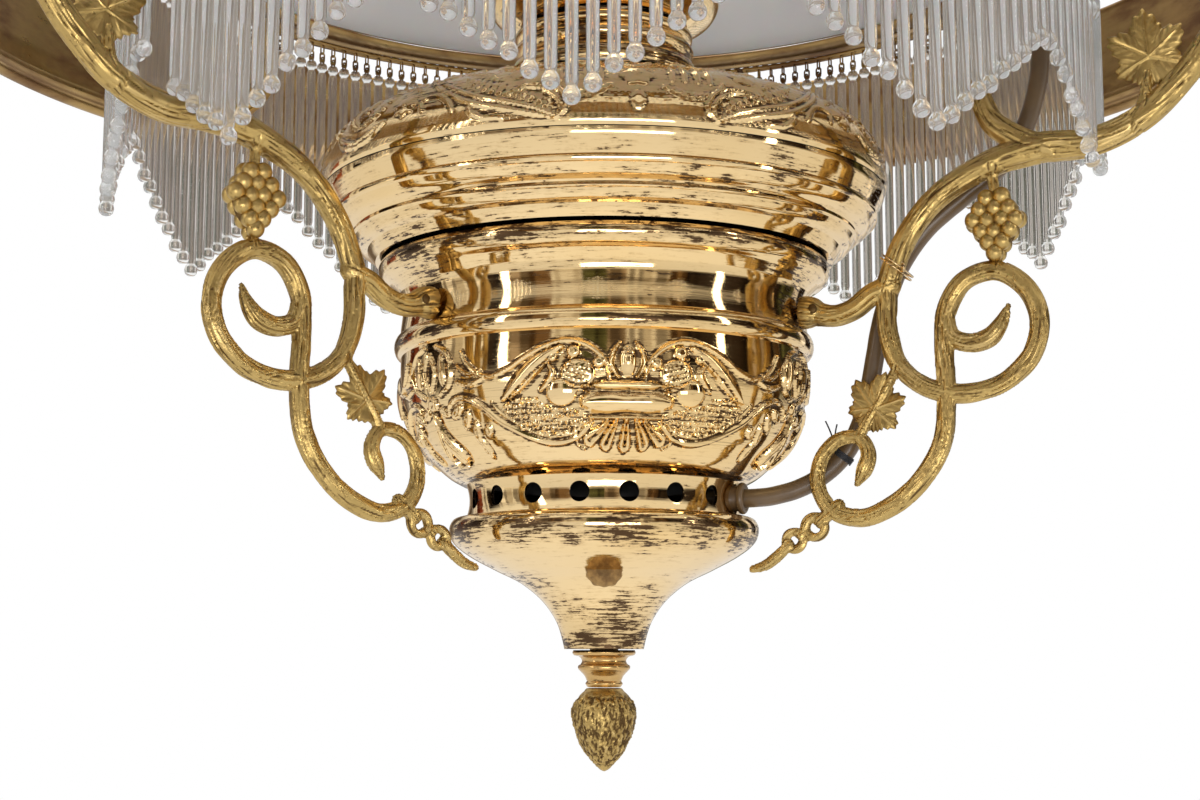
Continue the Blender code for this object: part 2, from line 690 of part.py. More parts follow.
def make_ceiling():
    turned("ceiling_plate", [(0, DROP), (50, DROP), (50, 696), (0, 696)], "steel", 32, closed=False)
    canopy = turned("canopy", walled(CANOPY, 1.0), "polished_brass")

    def cable_hole(bm):
        place = polar(16, 0, ARM_ANGLES["right"])
        add_prism(bm, circle(4, 10), -6, 6, level_frame(677, place.x / MM, place.y / MM))

    cut(canopy, "canopy_hole_cutter", cable_hole)
    for number, x in enumerate((-30, 30), start=1):
        screw = bmesh.new()
        add_prism(screw, circle(4, 10), -2.6, -GAP, level_frame(696, x, 0))
        new_object(f"plate_screw_{number}", screw, "steel")
    hook = bmesh.new()
    path = smooth_path(HOOK_PATH, 2)
    add_tube(hook, [Vector((0, y * MM, world_z(z))) for y, z in path], 3, 8)
    new_object("ceiling_hook", hook, "steel")


# ---------------------------------------------------------------- cable

# The cable's route in the right arm's plane, in mm: distance from the axis, height, distance behind it.
ROUTE = [(38, 54, 1.3), (47.8, 53.9, 1.7), (60, 54.4, 2.6), (73, 58.5, 4.6), (84, 67.5, 6.6),
         (91, 81, 7.6), (94.5, 97, 7.8), (98, 114, 7.9), (104, 130, 8), (113, 142.5, 8.3),
         (126, 153, 8.7), (138, 162, 9.1), (147, 175, 9.4), (152, 191, 9.5), (153.5, 208, 9.5),
         (155, 226, 9.6), (160.5, 239.5, 9.8), (171, 246, 10), (184, 249, 10), (199, 256, 10),
         (213, 268, 10), (221, 283, 10), (218, 306, 10), (181, 357, 10), (123.5, 433, 10),
         (70.5, 503, 10), (54, 529, 10), (49, 552, 10), (47, 571, 9), (41, 584, 7), (29, 592, 4),
         (19, 600, 1), (16, 608, 0)]
RISER = [(16, 611.6), (16, 625), (16, 639.4)]
TOP_RISER = [(16, 642.8), (16, 660), (16, 694)]
GROMMET = [(3.6, 43), (4.2, 43), (4.2, 48.8), (4.9, 48.8), (4.7, 51), (3.6, 51)]


def make_cord(name, points):
    """A round cord as a bevelled curve with filled caps, about two diameters between points."""
    line = bpy.data.curves.new(name, "CURVE")
    line.dimensions = "3D"
    line.bevel_depth = CABLE_R * MM
    line.bevel_resolution = 2
    line.use_fill_caps = True
    spline = line.splines.new("POLY")
    spline.points.add(len(points) - 1)
    for target, point in zip(spline.points, points):
        target.co = (*point, 1.0)
    line.materials.append(material("cable"))
    cord = bpy.data.objects.new(name, line)
    bpy.context.scene.collection.objects.link(cord)
    return cord


def make_cable():
    angle = ARM_ANGLES["right"]
    make_cord("supply_cable", [polar(r, z, angle, side) for r, z, side in smooth_path(ROUTE, 2)])
    pivot = empty("link_cable_axis", (0, 0, world_z(HOOK_Z)))
    hang_from(make_cord("link_cable", [polar(r, z, angle) for r, z in smooth_path(RISER, 2)]), pivot)
    make_cord("ceiling_cable", [polar(r, z, angle) for r, z in smooth_path(TOP_RISER, 2)])
    grommet = bmesh.new()
    add_lathed(grommet, GROMMET, radial_frame(0, 53.9, CABLE_HOLE_ANGLE), 12, closed=True)
    new_object("cable_grommet", grommet, "insulator")


def make_ties():
    angle = ARM_ANGLES["right"]
    wire = bmesh.new()
    tilt = Matrix.Rotation(math.radians(-35), 4, "Z")
    frame = plane_frame(104.2, 130, angle) @ tilt
    add_loop(wire, [frame @ Vector((x * MM, 0, -(y + 4) * MM)) for y, x in stadium(9.6, 5.2, 3)], 0.5, 4)
    new_object("tie_wire", wire, "polished_brass")
    thread = bmesh.new()
    frame = plane_frame(84, 67.5, angle) @ Matrix.Rotation(math.radians(-40), 4, "Z")
    add_loop(thread, [frame @ Vector((x * MM, 0, (y - 6.6) * MM)) for x, y in circle(4.4, 10)], 0.35, 4)
    new_object("tie_thread", thread, "thread")


def main():
    clear_scene()
    make_ceiling()
    make_hanging_link()
    make_crown()
    make_chains()
    make_ring_eyes()
    make_ring()
    make_carrier()
    make_shade()
    make_fringe()
    make_font()
    make_lampholder()
    make_bulb()
    make_vase()
    make_gallery()
    make_funnel()
    make_centre_tube()
    make_arms()
    make_arm_screws()
    make_cable()
    make_ties()


main()
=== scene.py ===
"""The looks of an embossed brass hanging oil lamp, made electric, with vine arms and a glass rod fringe."""
import math

import bpy
import numpy as np
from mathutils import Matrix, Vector, noise
from mathutils.kdtree import KDTree


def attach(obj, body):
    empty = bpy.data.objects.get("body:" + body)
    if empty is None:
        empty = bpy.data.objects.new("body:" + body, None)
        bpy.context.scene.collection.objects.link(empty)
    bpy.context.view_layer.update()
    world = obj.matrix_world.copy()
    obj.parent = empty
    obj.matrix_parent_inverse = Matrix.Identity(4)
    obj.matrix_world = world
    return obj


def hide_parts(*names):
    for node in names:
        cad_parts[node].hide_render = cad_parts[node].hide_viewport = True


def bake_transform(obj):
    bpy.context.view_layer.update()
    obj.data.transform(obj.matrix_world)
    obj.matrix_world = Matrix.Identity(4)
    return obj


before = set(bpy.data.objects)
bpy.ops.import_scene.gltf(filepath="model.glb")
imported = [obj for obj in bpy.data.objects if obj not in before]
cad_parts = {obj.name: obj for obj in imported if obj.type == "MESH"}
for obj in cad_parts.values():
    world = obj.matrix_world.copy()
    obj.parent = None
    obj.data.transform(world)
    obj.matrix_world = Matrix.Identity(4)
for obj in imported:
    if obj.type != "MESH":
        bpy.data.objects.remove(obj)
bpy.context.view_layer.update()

MM = 0.001
DROP = 700.0                     # the finial collar's foot hangs this far below the ceiling, in millimetres
ARM_ANGLES = {"left": 218.0, "right": 338.0, "rear": 98.0}
DESIGN_ANGLE = 276.0             # azimuth of the embossed designs' middle line
REPEATS = 3
TAU = 2 * math.pi

# -------------------------------------------------- shapes, in millimetres above the collar's foot


def to_world(points):
    """Millimetres above the collar's foot as metres below the ceiling."""
    return (np.asarray(points, float) - (0.0, 0.0, DROP)) * MM


def turn(points, angle):
    """Points turned about the lamp's axis by degrees."""
    a = math.radians(angle)
    matrix = np.array([[math.cos(a), math.sin(a), 0], [-math.sin(a), math.cos(a), 0], [0, 0, 1]])
    return np.asarray(points, float) @ matrix


def smooth(points, step):
    """A curve through the points, sampled about every step; a point given twice is a corner."""
    runs, run = [], [points[0]]
    for a, b in zip(points, points[1:]):
        if a == b:
            runs.append(run)
            run = [b]
        else:
            run.append(b)
    runs.append(run)
    out = []
    for run in runs:
        p = np.array(run, float)
        if len(p) < 2:
            continue
        h = np.linalg.norm(np.diff(p, axis=0), axis=1)
        d = np.diff(p, axis=0) / h[:, None]
        between = (d[:-1] * h[1:, None] + d[1:] * h[:-1, None]) / (h[:-1] + h[1:])[:, None]
        m = np.concatenate([d[:1], between, d[-1:]])
        for i, length in enumerate(h):
            t = np.linspace(0, 1, max(1, math.ceil(length / step)) + 1)[:-1, None]
            out.append((2 * t**3 - 3 * t**2 + 1) * p[i] + (t**3 - 2 * t**2 + t) * length * m[i]
                       + (3 * t**2 - 2 * t**3) * p[i + 1] + (t**3 - t**2) * length * m[i + 1])
        out.append(p[-1:])
    path = np.concatenate(out)
    return path[np.r_[True, np.linalg.norm(np.diff(path, axis=0), axis=1) > 1e-6]]


class Shape:
    """Vertices in millimetres and faces for one piece, with a value per vertex for wear and tarnish, and for
    painted shade on inner sides and in recesses.
    """

    def __init__(self):
        self.verts, self.shade, self.faces, self.count = [], [], [], 0

    def add(self, verts, faces, shade=0.0):
        verts = np.asarray(verts, float)
        self.faces += [[i + self.count for i in face] for face in faces]
        self.verts.append(verts)
        self.shade.append(np.broadcast_to(np.asarray(shade, float), (len(verts),)))
        self.count += len(verts)
        return self

    def grid(self, verts, shade=0.0, closed=False):
        """Faces over rows of points that each go once round; the rows close on themselves, or end in caps."""
        rows, columns = verts.shape[:2]
        i = np.arange(rows if closed else rows - 1)[:, None]
        j = np.arange(columns)[None, :]
        a, b = i * columns + j, i * columns + (j + 1) % columns
        c, d = (i + 1) % rows * columns + (j + 1) % columns, (i + 1) % rows * columns + j
        faces = np.stack([a, b, c, d], axis=-1).reshape(-1, 4).tolist()
        if not closed:
            faces.append(list(range(columns))[::-1])
            faces.append([(rows - 1) * columns + k for k in range(columns)])
        shade = np.broadcast_to(np.asarray(shade, float), (rows, columns))
        return self.add(verts.reshape(-1, 3), faces, shade.reshape(-1))

    def points(self):
        return np.concatenate(self.verts)

    def mesh(self, name, sharp=40.0):
        mesh = bpy.data.meshes.new(name)
        mesh.from_pydata(to_world(self.points()).tolist(), [], self.faces)
        wear_and_shade = mesh.attributes.new("wear_and_shade", "FLOAT", "POINT")
        wear_and_shade.data.foreach_set("value", np.concatenate(self.shade))
        mesh.validate()
        mesh.shade_smooth()
        mesh.set_sharp_from_angle(angle=math.radians(sharp))
        return mesh


def place(name, mesh, finish, body, slot, *nodes):
    """A piece of the lamp in the scene, riding its body and standing for its CAD nodes."""
    obj = bpy.data.objects.new(name, mesh)
    bpy.context.scene.collection.objects.link(obj)
    if not mesh.materials:
        mesh.materials.append(finish)
    if nodes:
        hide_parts(*nodes)
    if body:
        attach(obj, body)
    return obj


def around(r, z, a):
    """Points at a radius and a height for each angle in radians."""
    return np.stack([r * np.cos(a), r * np.sin(a), z + 0 * a], axis=-1)


def circle(steps):
    """Angles in radians, once round."""
    return np.linspace(0, TAU, steps, endpoint=False)


def rings(outline, steps):
    """A (points, steps, 3) array of an outline of (radius, height) turned about the axis."""
    return around(outline[:, 0, None], outline[:, 1, None], circle(steps)[None, :])


def normals(outline):
    """Unit vectors to the left of an outline as it is walked."""
    d = np.gradient(outline, axis=0)
    n = np.stack([-d[:, 1], d[:, 0]], axis=1)
    return n / np.maximum(np.linalg.norm(n, axis=1), 1e-9)[:, None]


def shell(outer, wall, step=0.7, inner_step=2.0):
    """A closed outline of a sheet: its outer side from top to bottom, then its inner side back up."""
    out = smooth(outer, step)
    side = smooth(outer, inner_step)
    back = side - wall * normals(side)
    return out, back[::-1]


def spun(outer, wall=1.2, steps=288, step=0.7, relief=None, solid=False, inside=1.0):
    """A turned sheet or solid; relief gives its outer side's height and wear, and inside the value on its
    inner side: 1.0 paints it near black as shade, lower values give tarnish.
    """
    shape = Shape()
    if solid:
        out, back = smooth(outer, step), np.zeros((0, 2))
    else:
        out, back = shell(outer, wall, step)
    verts = rings(out, steps)
    shade = np.zeros(verts.shape[:2])
    if relief:
        angles = np.linspace(0, 360, steps, endpoint=False)
        height, shade = relief(angles, out)
        n = normals(out)
        push = around(n[:, 0, None], n[:, 1, None], np.radians(angles)[None, :])
        verts = verts + push * height[..., None]
    if solid:
        return shape.grid(verts[::-1], shade[::-1])
    inner = rings(back, steps)
    both = np.concatenate([verts, inner])[::-1]
    # Inner sides take the inside value: at 1.0 they are painted near black as shade.
    shades = np.concatenate([shade, np.full(inner.shape[:2], inside)])[::-1]
    return shape.grid(both, shades, closed=True)


def sweep(shape, path, radii, sides=12, closed=False, groove=None, shade=0.0):
    """A round bar along a path; groove changes the radius by run along the path and turn about it."""
    path = np.asarray(path, float)
    radii = np.broadcast_to(np.asarray(radii, float), (len(path),))
    tangent = (np.roll(path, -1, 0) - np.roll(path, 1, 0)) if closed else np.gradient(path, axis=0)
    tangent /= np.linalg.norm(tangent, axis=1)[:, None]
    side = np.cross(tangent[0], (0.0, 0.0, 1.0) if abs(tangent[0][2]) < 0.9 else (0.0, 1.0, 0.0))
    frames = []
    for t in tangent:
        side = side - t * side.dot(t)
        side = side / np.linalg.norm(side)
        frames.append((side, np.cross(t, side)))
    u, v = np.array([f[0] for f in frames]), np.array([f[1] for f in frames])
    a = circle(sides)[None, :]
    r = radii[:, None] + 0 * a
    if groove:
        run = np.r_[0, np.cumsum(np.linalg.norm(np.diff(path, axis=0), axis=1))][:, None]
        r = r + groove(run, a)
    verts = path[:, None] + u[:, None] * (r * np.cos(a))[..., None] + v[:, None] * (r * np.sin(a))[..., None]
    return shape.grid(verts, shade, closed)


def oval(half_length, half_width, count=36):
    """A chain link's middle line, long along its first coordinate."""
    a = circle(count)
    straight = half_length - half_width
    return np.stack([np.sign(np.cos(a)) * straight + half_width * np.cos(a), half_width * np.sin(a)], axis=1)


def polar(r, z, angle, side=0.0):
    a = math.radians(angle)
    return np.array([r * math.cos(a) - side * math.sin(a), r * math.sin(a) + side * math.cos(a), z])


def loop3d(middle, x_axis, y_axis, outline):
    return np.asarray(middle) + outline[:, :1] * np.asarray(x_axis) + outline[:, 1:] * np.asarray(y_axis)


def ball(shape, middle, reach, rows=8, sides=12, shade=0.0):
    """A round bead, stretched by reach along each axis."""
    a = np.linspace(0, math.pi, rows + 1)[:, None]
    flat_pole = 0.05
    verts = around(np.maximum(np.sin(a), flat_pole), -np.cos(a), circle(sides)[None, :])
    return shape.grid(verts * np.asarray(reach) + np.asarray(middle), shade)


# -------------------------------------------------- finishes


def add_node(tree, kind, inputs=(), **props):
    """A shader node with its properties, and each input linked to an output or set to a value."""
    made = tree.nodes.new("ShaderNode" + kind)
    for key, value in props.items():
        setattr(made, key, value)
    for key, value in dict(inputs).items():
        if hasattr(value, "is_output"):
            tree.links.new(value, made.inputs[key])
        else:
            made.inputs[key].default_value = value
    return made


class Nodes:
    """Short names for the shader nodes that every finish here is made of."""

    def __init__(self, name):
        self.mat = bpy.data.materials.new(name)
        self.mat.use_nodes = True
        self.tree = self.mat.node_tree
        self.shader = self.tree.nodes["Principled BSDF"]

    def node(self, kind, inputs=(), **props):
        return add_node(self.tree, kind, inputs, **props)

    def noise(self, scale, detail=4.0, stretch=(1, 1, 1), rough=0.55):
        """Noise over object coordinates in metres, stretched along each axis."""
        coord = self.node("TexCoord").outputs["Object"]
        place = self.node("Mapping", {"Vector": coord, "Scale": stretch}).outputs[0]
        inputs = {"Vector": place, "Scale": scale, "Detail": detail, "Roughness": rough}
        return self.node("TexNoise", inputs).outputs[0]

    def wear_and_shade(self):
        return self.node("Attribute", attribute_name="wear_and_shade").outputs["Fac"]

    def steps(self, value, low, high, a=0.0, b=1.0):
        """A smooth change from a to b as the value goes from low to high."""
        inputs = {"Value": value, "From Min": low, "From Max": high, "To Min": a, "To Max": b}
        return self.node("MapRange", inputs, interpolation_type="SMOOTHSTEP").outputs[0]

    def math(self, operation, a, b):
        """A sum, product or greater value, kept between 0 and 1."""
        return self.node("Math", {0: a, 1: b}, operation=operation, use_clamp=True).outputs[0]

    def plus(self, a, b):
        return self.math("ADD", a, b)

    def times(self, a, b):
        return self.math("MULTIPLY", a, b)

    def most(self, a, b):
        return self.math("MAXIMUM", a, b)

    def mix(self, share, a, b):
        return self.node("Mix", {0: share, 6: a, 7: b}, data_type="RGBA").outputs[2]

    def bump(self, height, distance, strength=1.0, under=None):
        inputs = {"Height": height, "Distance": distance, "Strength": strength}
        if under is not None:
            inputs["Normal"] = under
        return self.node("Bump", inputs).outputs[0]

    def set(self, **sockets):
        """Shader sockets by name, with _ for a space; a colour is three numbers."""
        for key, value in sockets.items():
            socket = self.shader.inputs[key.replace("_", " ")]
            if hasattr(value, "is_output"):
                self.tree.links.new(value, socket)
            else:
                socket.default_value = value
        return self.mat


def rgb(r, g, b):
    return (r, g, b, 1.0)


def polished_brass(name, colour=(0.87, 0.65, 0.35), tarnish=1.0, rough=0.04):
    """Rubbed spun brass: hair scratches round the body, and brown oxide that breaks up into fine dashes;
    inner sides are painted near black, matt and not metal, as shade.
    """
    n = Nodes(name)
    warmer = rgb(colour[0] * 0.94, colour[1] * 0.88, colour[2] * 0.74)
    base = n.mix(n.steps(n.noise(9, 3), 0.35, 0.7), rgb(*colour), warmer)
    dashes = n.noise(1.0, 7, (120, 120, 1500), 0.68)
    grains = n.noise(330, 5, (1, 1, 1.6), 0.7)
    broken = n.plus(n.times(dashes, 0.72), n.times(grains, 0.28))
    cloudy = n.times(n.steps(n.noise(15, 4, (1, 1, 2.4)), 0.4, 0.7), 0.37 * tarnish)
    share = n.plus(n.times(n.most(n.wear_and_shade(), cloudy), 0.85), n.steps(broken, 0.19, 0.81))
    oxide = n.steps(share, 0.85, 0.92)
    lines = n.steps(n.noise(1.0, 3, (30, 30, 4200), 0.5), 0.63, 0.68)
    hairs = n.times(lines, n.steps(n.noise(7, 2), 0.46, 0.6, 0.0, 0.75))
    dirt = n.most(n.times(oxide, 0.94), hairs)
    stained = n.mix(n.times(n.steps(share, 0.62, 0.87), 0.3), base, rgb(0.42, 0.24, 0.085))
    # Painted shade: where the value nears 1, inner sides turn near black, matt and not metal.
    painted_inner_shade = n.steps(n.wear_and_shade(), 0.85, 0.98)
    shown = n.mix(painted_inner_shade, n.mix(dirt, stained, rgb(0.05, 0.022, 0.011)), rgb(0.01, 0.007, 0.005))
    fine = n.noise(1.0, 3, (40, 40, 1800), 0.6)
    matt = n.plus(n.times(dirt, 0.26), n.times(painted_inner_shade, 0.6))
    roughness = n.plus(n.steps(fine, 0.3, 0.75, rough * 0.7, rough * 1.8), matt)
    metal = n.steps(painted_inner_shade, 0.0, 1.0, 1.0, 0.0)
    bump = n.bump(fine, 0.00003, 0.6, n.bump(n.noise(26, 2), 0.0006, 0.45))
    return n.set(Base_Color=shown, Metallic=metal, Roughness=roughness, Normal=bump)


def cast_brass(name):
    """Sand-cast olive gold: matt, grainy, brown in its hollows and bright where hands rub it."""
    n = Nodes(name)
    grain = n.noise(420, 5)
    cloud = n.noise(38, 4)
    base = n.mix(n.steps(cloud, 0.3, 0.72), rgb(0.53, 0.37, 0.135), rgb(0.37, 0.245, 0.08))
    low = n.most(n.steps(n.wear_and_shade(), 0.35, 0.95), n.times(n.steps(grain, 0.56, 0.72), 0.55))
    colour = n.mix(n.times(low, 0.86), base, rgb(0.075, 0.038, 0.016))
    bright = n.times(n.steps(n.wear_and_shade(), 0.22, 0.0), n.steps(cloud, 0.45, 0.65))
    colour = n.mix(n.times(bright, 0.7), colour, rgb(0.7, 0.51, 0.22))
    roughness = n.plus(n.steps(grain, 0.3, 0.7, 0.27, 0.46), n.times(low, 0.2))
    bump = n.bump(grain, 0.00022, 0.8, n.bump(n.noise(150, 3), 0.0003, 0.5))
    return n.set(Base_Color=colour, Metallic=1.0, Roughness=roughness, Normal=bump)


def dull_brass(name, colour=(0.4, 0.26, 0.1)):
    """Unpolished brass gone brown."""
    n = Nodes(name)
    cloud = n.noise(30, 5, (1, 1, 3))
    base = n.mix(n.steps(cloud, 0.35, 0.68), rgb(*colour), rgb(0.17, 0.085, 0.035))
    bump = n.bump(n.noise(300, 3), 0.0001, 0.5)
    return n.set(Base_Color=base, Metallic=1.0, Roughness=n.steps(cloud, 0.3, 0.7, 0.26, 0.5), Normal=bump)


def clear_glass(name, tint=(0.99, 0.995, 0.99), rough=0.015, clear=1.0, bend=1.48):
    """Drawn soda glass with faint upright ripples."""
    n = Nodes(name)
    ripple = n.noise(120, 2, (1, 1, 0.12))
    colour = n.mix(n.steps(n.noise(60, 2), 0.4, 0.7), rgb(*tint), rgb(0.93, 0.95, 0.95))
    bump = n.bump(ripple, 0.0002, 0.35)
    return n.set(Base_Color=colour, Roughness=rough, Transmission_Weight=clear, IOR=bend, Normal=bump)


def opal_glass(name):
    """Cased white glass with a fired gloss and the faintest clouding."""
    n = Nodes(name)
    cloud = n.noise(14, 3)
    colour = n.mix(n.steps(cloud, 0.3, 0.7), rgb(0.82, 0.83, 0.83), rgb(0.75, 0.77, 0.78))
    bump = n.bump(n.noise(30, 2), 0.0004, 0.3)
    return n.set(Base_Color=colour, Roughness=n.steps(cloud, 0.3, 0.7, 0.16, 0.24), Coat_Weight=0.4,
                 Subsurface_Weight=0.25, Subsurface_Scale=0.004, Normal=bump)


def plain_finish(name, light, dark, rough, scale, grain, distance, metal=0.0, stretch=(1, 1, 1), **more):
    """A finish of two close colours with a grain: plastic, thread, steel, fired clay or cloth."""
    n = Nodes(name)
    cloud = n.noise(scale, 4, stretch)
    colour = n.mix(n.steps(cloud, 0.32, 0.7), rgb(*light), rgb(*dark))
    in_hollows = rgb(*[c * 0.35 for c in dark])
    colour = n.mix(n.times(n.steps(n.wear_and_shade(), 0.2, 1.0), 0.75), colour, in_hollows)
    roughness = n.steps(cloud, 0.3, 0.7, rough * 0.85, rough * 1.15)
    bump = n.bump(n.noise(grain, 3, stretch), distance, 0.7)
    return n.set(Base_Color=colour, Metallic=metal, Roughness=roughness, Normal=bump, **more)


GOLD = polished_brass("polished_brass")
GOLD_STREAKED = polished_brass("polished_brass_streaked", tarnish=1.3, rough=0.045)
GOLD_DARK = polished_brass("polished_brass_aged", colour=(0.6, 0.39, 0.16), tarnish=1.6, rough=0.2)
CAST = cast_brass("cast_brass")
DULL = dull_brass("dull_brass")
GLASS = clear_glass("clear_glass")
ROD_GLASS = clear_glass("rod_glass", (1, 1, 1), 0.02, 0.88, 1.3)
OPAL = opal_glass("opal_glass")
BRAID = plain_finish("braid", (0.3, 0.17, 0.09), (0.14, 0.075, 0.04), 0.75, 220, 900, 0.0002,
                     Sheen_Weight=0.3)
PATCH = plain_finish("solder_patch", (0.4, 0.25, 0.09), (0.17, 0.095, 0.035), 0.7, 260, 900, 0.0002,
                     metal=0.35)
CABLE = plain_finish("cable", (0.13, 0.078, 0.033), (0.085, 0.048, 0.02), 0.38, 60, 700, 0.00008,
                     Coat_Weight=0.12)
CLAY = plain_finish("insulator", (0.84, 0.81, 0.75), (0.74, 0.7, 0.63), 0.3, 80, 500, 0.0001, Coat_Weight=0.3)
THREAD = plain_finish("thread", (0.03, 0.03, 0.035), (0.015, 0.015, 0.015), 0.8, 400, 1500, 0.0001)
STEEL = plain_finish("steel", (0.5, 0.49, 0.47), (0.3, 0.29, 0.28), 0.36, 60, 500, 0.0001, metal=1.0)

# -------------------------------------------------- embossed designs


class Emboss:
    """Raised heights over half a repeat, by degrees from the design's middle and millimetres of outline."""

    def __init__(self, degrees, along, per_degree):
        self.k = per_degree
        self.x, self.y = np.meshgrid(degrees * per_degree, along)
        self.height = np.zeros(self.x.shape)

    def near(self, line):
        """Distance from a line in shares of its half-width, and run along it."""
        best = np.full(self.x.shape, 9.0)
        run, total = np.zeros(self.x.shape), 0.0
        path = smooth([(t * self.k, y, w) for t, y, w in line], 1.2)
        for (ax, ay, aw), (bx, by, bw) in zip(path, path[1:]):
            dx, dy = bx - ax, by - ay
            length = math.hypot(dx, dy)
            if length < 1e-6:
                continue
            t = np.clip(((self.x - ax) * dx + (self.y - ay) * dy) / length**2, 0, 1)
            q = np.hypot(self.x - ax - t * dx, self.y - ay - t * dy) / np.maximum(aw + t * (bw - aw), 0.05)
            nearer = q < best
            best = np.where(nearer, q, best)
            run = np.where(nearer, total + t * length, run)
            total += length
        return best, run

    def raise_to(self, height):
        self.height = np.maximum(self.height, height)

    def stroke(self, line, height, ribs=0.0, double=False):
        """A raised line; double gives it two ridges, and ribs is the pitch of ribs across it."""
        q, run = self.near([(t, y, w * 1.3) for t, y, w in line])
        form = 0.5 + 0.5 * np.cos(math.pi * np.clip(q, 0, 1))
        if double:
            form = np.where(q < 1, np.sin(math.pi * np.clip(q, 0, 1)) ** 1.2, 0.0)
            form = np.where(q < 0.5, 0.28 + 0.72 * form, form)
        if ribs:
            form = form * (0.72 + 0.28 * np.cos(run * TAU / ribs - 2.4 * q))
            form = np.where(q < 0.16, form * 0.7, form)
        self.raise_to(height * form)

    def blob(self, t, y, a, b, height, tilt=0.0, petals=0, dish=0.0):
        """A raised oval of half-axes a and b; petals lobe its edge, and dish hollows its middle."""
        c, s = math.cos(math.radians(tilt)), math.sin(math.radians(tilt))
        dx, dy = self.x - t * self.k, self.y - y
        u, v = (dx * c + dy * s) / a, (-dx * s + dy * c) / b
        q = np.hypot(u, v)
        if petals:
            q = q / (0.8 + 0.2 * np.abs(np.cos(petals / 2 * np.arctan2(v, u))))
        form = np.sqrt(np.clip(1 - q**2, 0, 1))
        if dish:
            form = form * (1 - dish * np.exp(-((q / 0.45) ** 2)))
        self.raise_to(height * form)

    def inside(self, corners):
        """Which places lie in a polygon."""
        hit = np.zeros(self.x.shape, bool)
        for (ax, ay), (bx, by) in zip(corners, corners[1:] + corners[:1]):
            ax, bx = ax * self.k, bx * self.k
            crosses = (ay > self.y) != (by > self.y)
            at = ax + (self.y - ay) * (bx - ax) / ((by - ay) or 1e-9)
            hit ^= crosses & (self.x < at)
        return hit

    def stipple(self, corners, height, pitch=1.75):
        """Punched grains, none of them quite in line."""
        row = np.floor(self.y / pitch)
        across = self.x / pitch + 0.5 * (row % 2)
        column = np.floor(across)
        shift = np.sin(column * 12.99 + row * 78.23) * 43.7
        other = np.sin(column * 39.35 + row * 11.13) * 24.6
        u = across % 1 - 0.5 - 0.22 * np.sin(shift)
        v = (self.y / pitch) % 1 - 0.5 - 0.22 * np.sin(other)
        dots = np.clip(1 - (u**2 + v**2) / (0.15 + 0.06 * np.sin(shift + other)), 0, 1)
        self.raise_to(np.where(self.inside(corners), height * (0.1 + 0.9 * dots), 0.0))

    def finished(self, index):
        """Heights over the whole turn, and how deep each place lies under the ones around it."""
        soft = self.height
        for axis in (0, 1):
            soft = sum(np.roll(soft, k, axis) for k in (-3, -2, -1, 0, 1, 2, 3)) / 7
        deep = np.clip((soft - self.height) / 0.4, 0, 0.5)
        return self.height[:, index], deep[:, index]


def half_repeat(angles):
    """The distinct distances in degrees from the nearest design's middle, and which one each angle has."""
    repeat = 360.0 / REPEATS
    away = np.abs((angles - DESIGN_ANGLE + repeat / 2) % repeat - repeat / 2)
    return np.unique(np.round(away, 4), return_inverse=True)


